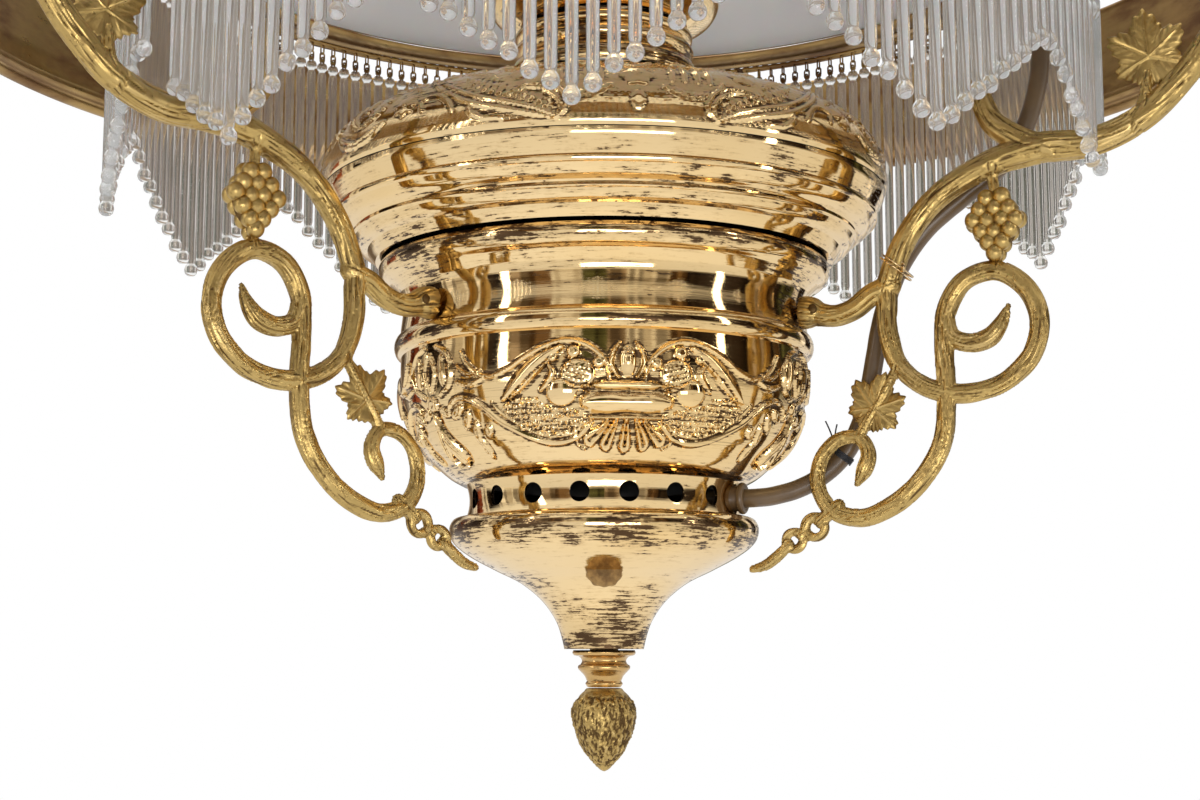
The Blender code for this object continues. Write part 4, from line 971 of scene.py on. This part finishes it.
RING_SECTION = [
    (242.7, 272), (242.4, 273), (242.9, 274), (244.4, 274.1), (245.3, 273.4), (245.3, 272.2), (244.9, 271),
    (244.9, 262), (245.6, 260.8), (245.6, 259), (244.9, 257.8), (244.9, 244), (245.5, 243), (245.5, 241.4),
    (244.9, 240.4), (244.9, 232), (246.2, 230.8), (246.5, 229.2), (245.6, 227.7), (244, 227.1),
    (242.3, 227.6), (241.2, 229), (241.5, 230.8), (242.7, 232), (242.7, 245), (242.7, 260)]
CARRIER_SECTION = [
    (176.0, 268.6), (175.6, 269.1), (174.8, 269.1), (174.4, 268.6), (174.4, 264.4), (173.6, 263.6),
    (160, 263.4), (158.4, 263.2), (158.1, 262.6), (158.6, 262.1), (170, 262), (175, 262), (175.8, 262.4),
    (176, 263.2)]
SHADE = [
    (34.4, 411.4), (35.6, 406.4), (38.4, 403.6), (44, 401.6), (66, 396), (84, 388.4), (98, 380), (128, 352),
    (149, 318), (161, 288), (165.4, 266)]
SHADE_WALL = 3.0
BRAID_R, BRAID_Z = 177.5, 263.8


def section_ring(section, steps, step=0.8):
    closed = smooth([*section, section[0]], step)[:-1]
    return Shape().grid(rings(closed, steps)[::-1], closed=True)


def make_ring():
    ring = section_ring(RING_SECTION, 420)
    place("outer_ring_rolled", ring.mesh("outer_ring", 35), DULL, "lamp", "dull_brass", "outer_ring")
    rivets = Shape()
    outline = smooth([(244.9, 2.3), (245.6, 2.1), (246.2, 1.2), (246.4, 0.1)], 0.3)
    for angle in ARM_ANGLES.values():
        for side in (-3.4, 3.4):
            head = along_x(outline, FOOT_Z, 16) + (0, side, 0)
            rivets.grid(turn(head, angle))
    place("outer_ring_rivets", rivets.mesh("ring_rivets", 50), GOLD_DARK, "lamp", "dull_brass")


def make_carrier():
    """The ring under the shade, with a slightly uneven flat bar to each arm's foot."""
    ring = section_ring(CARRIER_SECTION, 360, 0.7)
    section = [(-4, -1.5), (-3.6, -1.9), (3.6, -1.9), (4, -1.5), (4, 1.5), (3.6, 1.9), (-3.6, 1.9), (-4, 1.5)]
    bar = []
    for r in np.linspace(173.5, 242.2, 30):
        lift = 270.3 + 0.15 * math.sin((r - 173.5) * 0.2)
        bar.append([(r, y, z + lift) for y, z in section])
    for angle in ARM_ANGLES.values():
        ring.grid(turn(bar, angle))
    place("shade_carrier_ring", ring.mesh("shade_carrier", 35), DULL, "lamp", "dull_brass", "shade_carrier")


def make_braid():
    """A flat plait: three strands that cross over one another all the way round the carrier."""
    shape = Shape()
    crossings = 170
    a = circle(crossings * 12)
    for strand in range(3):
        phase = a * crossings / 2 + strand * TAU / 3
        path = around(BRAID_R + 0.45 * np.sin(2 * phase), BRAID_Z + 2.3 * np.sin(phase), a)
        sweep(shape, path, 0.95, 7, closed=True, shade=0.1)
    b = circle(720)
    for z in (BRAID_Z - 3.1, BRAID_Z + 3.1):
        sweep(shape, around(177.3 + 0.12 * np.sin(b * 240), z, b), 0.55, 6, closed=True, shade=0.4)
    place("braid_plait", shape.mesh("braid", 60), BRAID, "lamp", "braid", "braid_trim")


def make_shade():
    shade = spun(SHADE, SHADE_WALL, 288, 1.5).mesh("opal_shade", 45)
    place("opal_shade_glass", shade, OPAL, "shade", "opal_glass", "opal_shade")


# -------------------------------------------------- rod fringe

SCALLOPS, SCALLOP_PHASE, RODS = 10, 15.0, 19
ROD_R, ROD_TOP = 1.85, 251.0
ROD_LONG, ROD_SHORT, ROD_OVER_ARM = 146.0, 185.0, 207.0      # heights of the rods' lower ends
STRIP_R, STRIP_Z = 171.0, 259.0                              # the wire strip that the rods hang from


def rod_end(offset, angle):
    """Height of a rod's lower end, which stays above an arm's leaf; None where the cable passes."""
    height = ROD_LONG + (ROD_SHORT - ROD_LONG) * abs(offset) / (180.0 / SCALLOPS)
    for side, arm_angle in ARM_ANGLES.items():
        beside = (angle - arm_angle + 180.0) % 360.0 - 180.0
        if side == "right" and 1.5 < beside < 5.5:
            return None
        if abs(beside) < 2.3:
            height = ROD_OVER_ARM
    return height


def rod_outline(low, top):
    return np.array([(0.3, low), (1.5, low + 0.35), (2.3, low + 1.2), (2.6, low + 2.5), (2.35, low + 3.8),
                     (1.7, low + 4.7), (1.55, low + 5.3), (ROD_R, low + 6.6), (ROD_R, (low + top) / 2),
                     (ROD_R, top - 5.4), (1.45, top - 4.4), (1.6, top - 3.9), (2.15, top - 2.9),
                     (2.3, top - 2), (1.9, top - 0.7), (0.9, top - 0.1), (0.3, top)])


def make_fringe():
    step = 360.0 / SCALLOPS / RODS
    for scallop in range(SCALLOPS):
        middle = SCALLOP_PHASE + scallop * 360.0 / SCALLOPS
        rods, wires = Shape(), Shape()
        for k in range(RODS):
            angle = middle + (k - (RODS - 1) / 2) * step
            low = rod_end(angle - middle, angle)
            if low is None:
                continue
            sway = 0.12 * math.sin(7.3 * k + 2.1 * scallop)
            lift = 0.7 * math.sin(3.9 * k + 1.3 * scallop)
            rod = rings(rod_outline(low + lift, ROD_TOP), 12) + polar(STRIP_R + sway, 0, angle)
            rods.grid(rod)
            eye = oval(1.9, 1.1, 14)
            out, across = polar(1, 0, angle), polar(0, 0, angle, 1)
            for z, plane in ((STRIP_Z - 2.2, out), (STRIP_Z - 5.4, across), (ROD_TOP + 0.6, out)):
                sweep(wires, loop3d(polar(STRIP_R, z, angle), (0, 0, 1), plane, eye), 0.36, 6, closed=True)
            ball(wires, polar(STRIP_R, STRIP_Z - 7, angle), (1.25, 1.25, 0.8), 6, 10, 0.2)
        ends = [math.radians(middle + side * ((RODS - 1) / 2 * step + 0.5)) for side in (-1, 1)]
        a = np.linspace(*ends, 60)
        for r, z in ((STRIP_R, STRIP_Z), (STRIP_R - 1.2, STRIP_Z + 0.4), (STRIP_R + 1.2, STRIP_Z + 0.4)):
            sweep(wires, around(r, z, a), 0.7, 8)
        number = f"{scallop + 1:02d}"
        body = f"fringe_{number}"
        place(f"rods_{number}", rods.mesh("rods", 60), ROD_GLASS, body, "clear_glass", body)
        place(f"rod_wires_{number}", wires.mesh("rod_wires", 60), DULL, body, "dull_brass")


# -------------------------------------------------- chains, crown, link, hook and ceiling plate

CHAIN_LOW, CHAIN_HIGH, LINKS = (243.6, 282.0), (34.0, 559.2), 11
CHAIN_EYE_R, CHAIN_EYE_WIRE, CHAIN_WIRE, LINK_HALF_W = 5.0, 1.4, 1.25, 5.2
CHAIN_INSET = CHAIN_EYE_R - CHAIN_EYE_WIRE - CHAIN_WIRE      # from an eye's middle to the end link's wire
RING_TOP, CROWN_FOOT = 274.1, 566.4                          # where the shanks of the chains' eyes end
CROWN = [(3.4, 575), (12, 575), (15, 574.4), (18, 572.4), (18, 572.4), (19.6, 572.2), (24, 572.2), (30, 571),
         (30, 571), (31.6, 571.4), (33.4, 571.2), (34.4, 570.2), (34.4, 570.2), (37, 570.2), (39.2, 569.8),
         (40, 568.8), (40, 567), (39.4, 566.2), (38.6, 566), (38.6, 566), (3.4, 566)]
CANOPY = [
    (7, 675), (20, 676.6), (20, 676.6), (21.4, 676.4), (22.8, 677.2), (22.8, 677.2), (36, 680), (44, 682.8),
    (50, 686), (53.6, 690), (55.4, 694), (55.4, 694), (56.2, 694.6), (56.4, 696), (56, 697), (55.8, 699.6)]
HOOK_PATH = [(0, 695.4), (0, 680), (0, 670), (6, 663.6), (10.6, 654.5), (8.4, 645), (0, 641), (-8.4, 645),
             (-11, 652.5), (-11.6, 658)]
LINK_LOW, LINK_HIGH, LINK_WIRE = 610.0, 646.3, 2.0
EYE_MIDDLE, EYE_R = 606.5, 8.0
HOOK_WIRE = 3.0
RISER_R = 16.0                   # the cable rises this far from the axis, through the canopy's bush


def eye_and_shank(shape, middle, out, towards, ring=CHAIN_EYE_R, wire=CHAIN_EYE_WIRE, shank=1.6, bead=2.6):
    """A turned eye: a ring in the plane of out and the upright, with a collared shank to another height."""
    a = circle(36)
    loop = np.stack([np.cos(a), np.sin(a)], axis=1) * ring
    sweep(shape, loop3d(middle, out, (0, 0, 1), loop), wire, 12, closed=True)
    up = 1 if towards > middle[2] else -1
    start = middle[2] + up * ring
    profile = [(shank, 0.0), (bead, 0.12), (bead, 0.3), (shank, 0.42), (shank, 1.0)]
    low, high = (start, towards) if up > 0 else (towards, start)
    order = profile if up > 0 else [(r, 1 - t) for r, t in profile[::-1]]
    outline = np.array([(r, low + (high - low) * t) for r, t in order])
    shape.grid(rings(outline, 20) + (middle[0], middle[1], 0))


def make_chains():
    for number, angle in enumerate(ARM_ANGLES.values(), start=1):
        low, high = polar(*CHAIN_LOW, angle), polar(*CHAIN_HIGH, angle)
        length = np.linalg.norm(high - low)
        along = (high - low) / length
        across = polar(0, 0, angle, 1)
        up = np.cross(along, across)
        pitch = (length - 2 * CHAIN_INSET + 2 * CHAIN_WIRE) / LINKS
        link = oval(pitch / 2 + CHAIN_WIRE, LINK_HALF_W, 44)
        chain = Shape()
        for k in range(LINKS):
            middle = low + along * (CHAIN_INSET - CHAIN_WIRE + pitch * (k + 0.5))
            sweep(chain, loop3d(middle, along, (across, up)[k % 2], link), CHAIN_WIRE, 10, closed=True)
        place(f"chain_{number}_links", chain.mesh("chain", 60), GOLD_STREAKED, "lamp", "polished_brass",
              f"chain_{number}")
        eye = Shape()
        eye_and_shank(eye, low, polar(1, 0, angle), RING_TOP)
        place(f"ring_eye_{number}_turned", eye.mesh("ring_eye", 50), GOLD_STREAKED, "lamp", "polished_brass",
              f"ring_eye_{number}")


def bead_row(shape, r, z, size, count):
    for k in range(count):
        ball(shape, polar(r, z, 360.0 * k / count), (size,) * 3, 6, 10)


def make_crown():
    solid = Shape()
    solid.grid(rings(smooth(CROWN, 0.5), 240)[::-1])
    bead_row(solid, 36, 570.6, 1.1, 60)
    for angle in ARM_ANGLES.values():
        eye_and_shank(solid, polar(*CHAIN_HIGH, angle), polar(1, 0, angle), CROWN_FOOT)
    place("crown_turned", solid.mesh("crown", 35), GOLD, "lamp", "polished_brass", "crown")
    eye = Shape()
    eye_and_shank(eye, (0, 0, EYE_MIDDLE), (0, 1, 0), 556.0, EYE_R, 2.2, 3.0, 4.6)
    place("crown_eye_turned", eye.mesh("crown_eye", 50), GOLD_STREAKED, "lamp", "polished_brass", "crown_eye")


def make_hanging_link():
    link = Shape()
    middle = (0, 0, (LINK_LOW + LINK_HIGH) / 2)
    path = loop3d(middle, (0, 0, 1), (1, 0, 0), oval((LINK_HIGH - LINK_LOW) / 2, 8.5, 60))
    sweep(link, path, LINK_WIRE, 14, closed=True, groove=lambda run, a: 0.05 * np.sin(run * 2.1 + a * 3))
    place("hanging_link_wire", link.mesh("hanging_link", 60), GOLD_STREAKED, "hanging_link", "polished_brass",
          "hanging_link")


def hook_thread(run, a):
    """The screw thread on the hook's shank."""
    return np.where(run < 12, 0.22 * np.cos(TAU * run / 1.25 + a), 0.0)


def make_ceiling():
    canopy = Shape()
    out, back = shell(CANOPY[::-1], 1.0)
    canopy.grid(np.concatenate([rings(out, 288), rings(back, 288)])[::-1], closed=True)
    bead_row(canopy, 21.6, 676.4, 0.9, 44)
    for z, radius in ((676.0, 4.1), (674.9, 3.9)):
        bush = polar(RISER_R, 0, ARM_ANGLES["right"]) + around(radius, z, circle(32))
        sweep(canopy, bush, 0.75, 8, closed=True)
    place("canopy_spinning", canopy.mesh("canopy", 35), GOLD, "ceiling", "polished_brass", "canopy")
    hook = Shape()
    path = smooth([(0.0, y, z) for y, z in HOOK_PATH], 0.8)
    radii = HOOK_WIRE - 0.28 * np.clip((path[:, 2] - 684) / 1.5, 0, 1)
    to_tip = np.arange(len(path)) - len(path) + 5
    radii = np.where(to_tip > 0, HOOK_WIRE - 0.45 * to_tip, radii)
    sweep(hook, path, radii, 20, groove=hook_thread)
    place("ceiling_hook_bent", hook.mesh("ceiling_hook", 60), STEEL, "ceiling", "steel", "ceiling_hook")


# -------------------------------------------------- cable and its ties

CABLE_R = 3.15
# The cable's route: distance from the axis, height, and distance to the rear of the right arm's plane.
ROUTE = [
    (38, 54, 1.3), (47.8, 53.9, 1.7), (60, 54.4, 2.6), (73, 58.5, 4.6), (84, 67.5, 6.6), (91, 81, 7.6),
    (94.5, 97, 7.8), (98, 114, 7.9), (104, 130, 8), (113, 142.5, 8.3), (126, 153, 8.7), (138, 162, 9.1),
    (147, 175, 9.4), (152, 191, 9.5), (153.5, 208, 9.5), (155, 226, 9.6), (160.5, 239.5, 9.8),
    (171, 246, 10), (184, 249, 10), (199, 256, 10), (213, 268, 10), (221, 283, 10), (218, 306, 10),
    (181, 357, 10), (123.5, 433, 10), (70.5, 503, 10), (54, 529, 10), (49, 552, 10), (47, 571, 9),
    (41, 584, 7), (29, 592, 4), (19, 600, 1), (RISER_R, 608, 0), (RISER_R, 611.6, 0), (RISER_R, 625, 0)]
TOP_RISER = [(RISER_R, 625, 0), (RISER_R, 660, 0), (RISER_R, 694, 0)]
GROMMET = [(43, 3.5), (43, 4.2), (48.9, 4.3), (48.9, 4.3), (49.0, 5.0), (49.6, 5.4), (50.6, 5.3), (51.2, 4.6),
           (51.2, 3.5)]
WIRE_TIE = (104.2, 130.0, -35.0)         # distance from the axis, height and tilt in the arm's plane
THREAD_TIE = (84.0, 67.5, -40.0)


def cable_piece(name, points, *nodes):
    shape = Shape()
    path = smooth([tuple(polar(r, z, ARM_ANGLES["right"], side)) for r, z, side in points], 1.6)
    sweep(shape, path, CABLE_R, 18, groove=lambda run, a: 0.03 * np.sin(run * 0.8) * np.cos(a + run * 0.05))
    return place(name, shape.mesh(name, 60), CABLE, "", "cable", *nodes)


def make_cable():
    lower = cable_piece("supply_cable_run", ROUTE, "supply_cable")
    upper = cable_piece("supply_cable_riser", TOP_RISER, "link_cable", "ceiling_cable")
    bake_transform(lower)
    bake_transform(upper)
    bush = Shape()
    outline = smooth([*GROMMET, GROMMET[0]], 0.4)[:-1]
    ring = turn(along_x(outline, AIR_HOLE_Z, 32), CABLE_HOLE_ANGLE)
    bush.grid(ring[::-1], closed=True)
    place("cable_bush", bush.mesh("cable_bush", 40), CABLE, "lamp", "insulator", "cable_grommet")


def tie_frame(r, z, tilt):
    """A tie's middle, and three directions: two in the right arm's plane, and one square to it."""
    angle = ARM_ANGLES["right"]
    out, up = polar(1, 0, angle), np.array([0.0, 0.0, 1.0])
    c, s = math.cos(math.radians(tilt)), math.sin(math.radians(tilt))
    return polar(r, z, angle), out * c + up * s, up * c - out * s, polar(0, 0, angle, 1)


def make_wire_tie():
    """Two turns of thin wire round the arm and the cable, with twisted ends."""
    middle, wide, along, side = tie_frame(*WIRE_TIE)
    wire = Shape()
    turns, per_turn = 2, 40
    t = np.linspace(0, turns, turns * per_turn)
    loop = oval(9.4, 5.0, per_turn)
    loop = np.concatenate([loop, loop[:1]])
    at = np.stack([np.interp(t % 1 * per_turn, range(per_turn + 1), loop[:, k]) for k in (0, 1)], axis=1)
    coil = middle + at[:, :1] * side + 4 * side + at[:, 1:] * wide + ((t - turns / 2) * 1.25)[:, None] * along
    sweep(wire, coil, 0.32, 8)
    for phase in (0, math.pi):
        k = np.linspace(0, 1, 40)[:, None]
        tail = (middle + wide * (4.9 + 0.3 * k) + side * (-3.5 - 6.5 * k) + along * (-0.6 + 2.5 * k)
                + 0.35 * np.cos(k * 16 + phase) * wide + 0.35 * np.sin(k * 16 + phase) * along)
        sweep(wire, tail, 0.3, 8)
    place("tie_wire_coil", wire.mesh("tie_wire", 60), GOLD, "lamp", "polished_brass", "tie_wire")


def make_thread_tie():
    """Four turns of thread round the cable, with two loose ends."""
    middle, wide, along, side = tie_frame(*THREAD_TIE)
    thread = Shape()
    t = np.linspace(0, 4 * TAU, 160)[:, None]
    centre = middle + 6.6 * side
    coil = centre + 3.6 * np.cos(t) * wide + 3.6 * np.sin(t) * side + (t / TAU - 2) * 0.55 * along
    sweep(thread, coil, 0.28, 6)
    k = np.linspace(0, 1, 24)[:, None]
    for lean, length in ((0.5, 7.0), (-0.2, 9.0)):
        way = along * 0.8 - wide * (0.6 + lean * k) - side * 0.3
        sweep(thread, centre - 3.7 * wide * (1 + 0.1 * k) + length * k * way, 0.26, 6)
    place("tie_thread_turns", thread.mesh("tie_thread", 60), THREAD, "lamp", "thread", "tie_thread")


# -------------------------------------------------- lampholder and bulb

HOLDER = [(19, 247), (19.4, 247.8), (19.4, 252), (18.9, 252.6), (18.9, 252.6), (18.9, 262), (19.5, 263),
          (18.9, 264), (18.9, 264), (18.9, 286)]
INSULATOR = [
    (19.3, 279.2), (21.1, 279), (21.5, 279.6), (21.5, 288.6), (20.6, 290), (16.4, 290), (15.6, 289.2),
    (15.6, 286.8), (16.2, 286.4), (19.3, 286.4)]
BULB_CAP = [(12.6, 285.4), (13, 284.8), (13, 265.4), (12.2, 263.6), (10.6, 262), (10.6, 262), (8.4, 261.4),
            (5.4, 259.6), (5.4, 259.6), (4.6, 258.6), (1.0, 258.1)]
BULB_GLASS = [
    (12.3, 286), (12.6, 288), (14, 296), (17.6, 303), (22, 310.4), (27.6, 321), (29.8, 329), (30, 334),
    (28.8, 344), (24, 353.6), (16.4, 360.4), (8, 363.4), (0.6, 364)]
BULB_WALL = 0.8
FILAMENT_R = 9.5


def cap_thread(angles, outline):
    """The rolled screw thread of the bulb's cap."""
    a, z = np.radians(angles)[None, :], outline[:, 1, None]
    band = np.clip((z - 265.5) / 2, 0, 1) * np.clip((284 - z) / 2, 0, 1)
    wave = np.sin(a + (z - 265) * TAU / 3.6)
    return (-0.5 + 0.5 * wave) * band, np.clip(-wave, 0, 1) * band


def make_lampholder():
    holder = spun(HOLDER[::-1], 1.4, 180, 0.6)
    place("lampholder_shell", holder.mesh("lampholder", 30), GOLD_DARK, "font", "dull_brass", "lampholder")
    clay = section_ring(INSULATOR, 180, 0.6).mesh("holder_insulator", 35)
    place("holder_insulator_ring", clay, CLAY, "font", "insulator", "holder_insulator")


def make_bulb():
    cap = spun(BULB_CAP, steps=160, step=0.35, relief=cap_thread, solid=True)
    place("bulb_cap_thread", cap.mesh("bulb_cap", 40), STEEL, "bulb", "steel", "bulb_cap")
    glass = Shape()
    out = smooth(BULB_GLASS, 1.2)
    back = (out + BULB_WALL * normals(out))[::-1]
    glass.grid(np.concatenate([rings(out, 120), rings(back, 120)]), closed=True)
    place("bulb_envelope", glass.mesh("bulb_glass", 60), GLASS, "bulb", "clear_glass", "bulb_glass")
    inside = Shape()
    stem = smooth([(4.2, 287), (3.6, 296), (2.2, 306), (1.6, 316), (2.4, 318), (0.4, 320)], 0.8)
    inside.grid(rings(stem, 24))
    place("bulb_stem", inside.mesh("bulb_stem", 60), GLASS, "bulb", "clear_glass")
    wires = Shape()
    for a in range(0, 360, 60):
        ends = ((1.2, 314), (6, 322), (FILAMENT_R, 330 + 8 * (a % 120 > 0)))
        sweep(wires, smooth([tuple(polar(r, z, a)) for r, z in ends], 0.8), 0.16, 6)
    k = np.linspace(0, 1, 400)
    a = k * TAU * 5 / 6
    coil = around(FILAMENT_R, 334 + 4 * np.cos(a * 3 + math.pi), a)
    coil += 0.35 * around(np.cos(k * 500), np.sin(k * 500), a)
    sweep(wires, coil, 0.1, 5)
    place("bulb_filament", wires.mesh("bulb_filament", 60), STEEL, "bulb", "steel")


# -------------------------------------------------- CAD pieces that stay, floor, light and camera

KEPT = {"ceiling_plate": STEEL, "plate_screw_1": STEEL, "plate_screw_2": STEEL, "crown_nut": GOLD_DARK,
        "arm_screw_1": GOLD_DARK, "arm_screw_2": GOLD_DARK, "arm_screw_3": GOLD_DARK, "centre_tube": DULL,
        "tube_nut": DULL, "holder_stem": DULL}
CAMERA_BACK, CAMERA_X = 0.665, -0.0014       # metres from the lamp's axis
CAMERA_PITCH = math.radians(7.7)
LENS, SENSOR = 57.4, 36.0
FLOOR_Z = -2.4                   # a room's height under the ceiling
FLOOR_REACH = 14.0
LIGHTS_AIM = (0, 0, -0.6)


def keep_cad_pieces():
    for node, finish in KEPT.items():
        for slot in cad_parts[node].material_slots:
            slot.material = finish


def make_camera():
    data = bpy.data.cameras.new("camera")
    data.lens, data.sensor_width = LENS, SENSOR
    data.clip_start, data.clip_end = 0.01, 50
    camera = bpy.data.objects.new("camera", data)
    camera.location = (CAMERA_X, -CAMERA_BACK, -DROP * MM)
    camera.rotation_euler = (math.pi / 2 + CAMERA_PITCH, 0, 0)
    bpy.context.scene.collection.objects.link(camera)
    bpy.context.scene.camera = camera


def make_floor():
    n = Nodes("floor")
    speck = n.noise(3, 4)
    n.set(Base_Color=n.mix(speck, rgb(0.9, 0.9, 0.9), rgb(0.86, 0.86, 0.86)), Roughness=0.7)
    mesh = bpy.data.meshes.new("floor")
    corners = ((-1, -1), (1, -1), (1, 1), (-1, 1))
    mesh.from_pydata([(x * FLOOR_REACH, y * FLOOR_REACH, FLOOR_Z) for x, y in corners], [], [(0, 1, 2, 3)])
    mesh.materials.append(n.mat)
    floor = bpy.data.objects.new("floor", mesh)
    bpy.context.scene.collection.objects.link(floor)


def add_light(name, location, size, power, colour=(1, 1, 1)):
    data = bpy.data.lights.new(name, "AREA")
    data.shape = "RECTANGLE"
    data.size, data.size_y = size
    data.energy = power
    data.color = colour
    light = bpy.data.objects.new(name, data)
    light.location = location
    light.rotation_euler = (Vector(LIGHTS_AIM) - Vector(location)).to_track_quat("-Z", "Y").to_euler()
    bpy.context.scene.collection.objects.link(light)


def make_light():
    """A white surround, with blocks of furniture and bright windows that only reflections show."""
    world = bpy.data.worlds.new("studio")
    bpy.context.scene.world = world
    world.use_nodes = True
    tree = world.node_tree
    tree.nodes.clear()

    def node(kind, inputs=(), **props):
        return add_node(tree, kind, inputs, **props)

    def blend(share, a, b, how="MIX"):
        return node("Mix", {0: share, 6: a, 7: b}, data_type="RGBA", blend_type=how).outputs[2]

    direction = node("TexCoord").outputs["Generated"]
    split = node("SeparateXYZ", {0: direction})
    height = split.outputs[2]
    bearing = node("Math", {0: split.outputs[1], 1: split.outputs[0]}, operation="ARCTAN2").outputs[0]

    def blocks(along, scale, channel, stops):
        """Hard-edged blocks of uneven width along one coordinate, each with one of the colours."""
        cell = node("TexVoronoi", {"W": along, "Scale": scale, "Randomness": 0.9}, voronoi_dimensions="1D")
        value = node("SeparateColor", {0: cell.outputs["Color"]}).outputs[channel]
        ramp = node("ValToRGB", {"Fac": value})
        ramp.color_ramp.interpolation = "CONSTANT"
        elements = ramp.color_ramp.elements
        while len(elements) < len(stops):
            elements.new(0.5)
        for element, (at, colour) in zip(elements, stops):
            element.position, element.color = at, (*colour, 1)
        return ramp.outputs[0], value

    furniture, kind = blocks(bearing, 4.4, 0, (
        (0, (0.03, 0.02, 0.014)), (0.2, (0.2, 0.12, 0.06)), (0.34, (0.8, 0.77, 0.72)),
        (0.55, (0.45, 0.36, 0.27)), (0.66, (0.3, 0.08, 0.04)), (0.74, (1.3, 1.3, 1.3)),
        (0.88, (0.14, 0.15, 0.07))))
    shifted = node("Math", {0: height, 1: kind}, operation="ADD").outputs[0]
    shelf_colours = ((0, (0.25, 0.2, 0.15)), (0.3, (1, 1, 1)), (0.75, (0.7, 0.66, 0.6)))
    shelves = blocks(shifted, 9.0, 1, shelf_colours)[0]
    frame_colours = ((0, (0.12, 0.09, 0.06)), (0.28, (1, 1, 1)), (0.8, (0.6, 0.56, 0.5)))
    frames = blocks(bearing, 21.0, 2, frame_colours)[0]
    room = blend(0.6, blend(0.75, furniture, frames, "MULTIPLY"), shelves, "MULTIPLY")
    up = node("MapRange", {"Value": height, "From Min": 0.34, "From Max": 0.46}).outputs[0]
    down = node("MapRange", {"Value": height, "From Min": -0.03, "From Max": -0.13}).outputs[0]
    lit = blend(down, blend(up, room, rgb(0.95, 0.94, 0.92)), rgb(0.95, 0.92, 0.87))
    colour = blend(node("LightPath").outputs["Is Glossy Ray"], rgb(1, 1, 1), lit)
    back = node("Background", {"Color": colour, "Strength": 1.0})
    tree.links.new(back.outputs[0], node("OutputWorld").inputs[0])
    add_light("left_window", (-1.6, -1.1, -0.2), (0.16, 1.3), 5, (1, 0.98, 0.95))
    add_light("right_window", (1.8, -0.8, -0.3), (0.13, 1.3), 5, (1, 0.98, 0.95))
    add_light("front_low", (0.2, -1.7, -1.1), (1.2, 0.35), 8)
    add_light("top", (0, -0.2, 0.9), (1.5, 1.5), 12)


bpy.context.scene.view_settings.view_transform = "Standard"
for make in (make_camera, make_floor, make_light, make_cable, make_spun_bodies, make_air_gallery,
             make_funnel_patch, make_arms, make_ring, make_carrier, make_braid, make_shade, make_fringe,
             make_chains, make_crown, make_hanging_link, make_ceiling, make_wire_tie, make_thread_tie,
             make_lampholder, make_bulb, keep_cad_pieces):
    make()
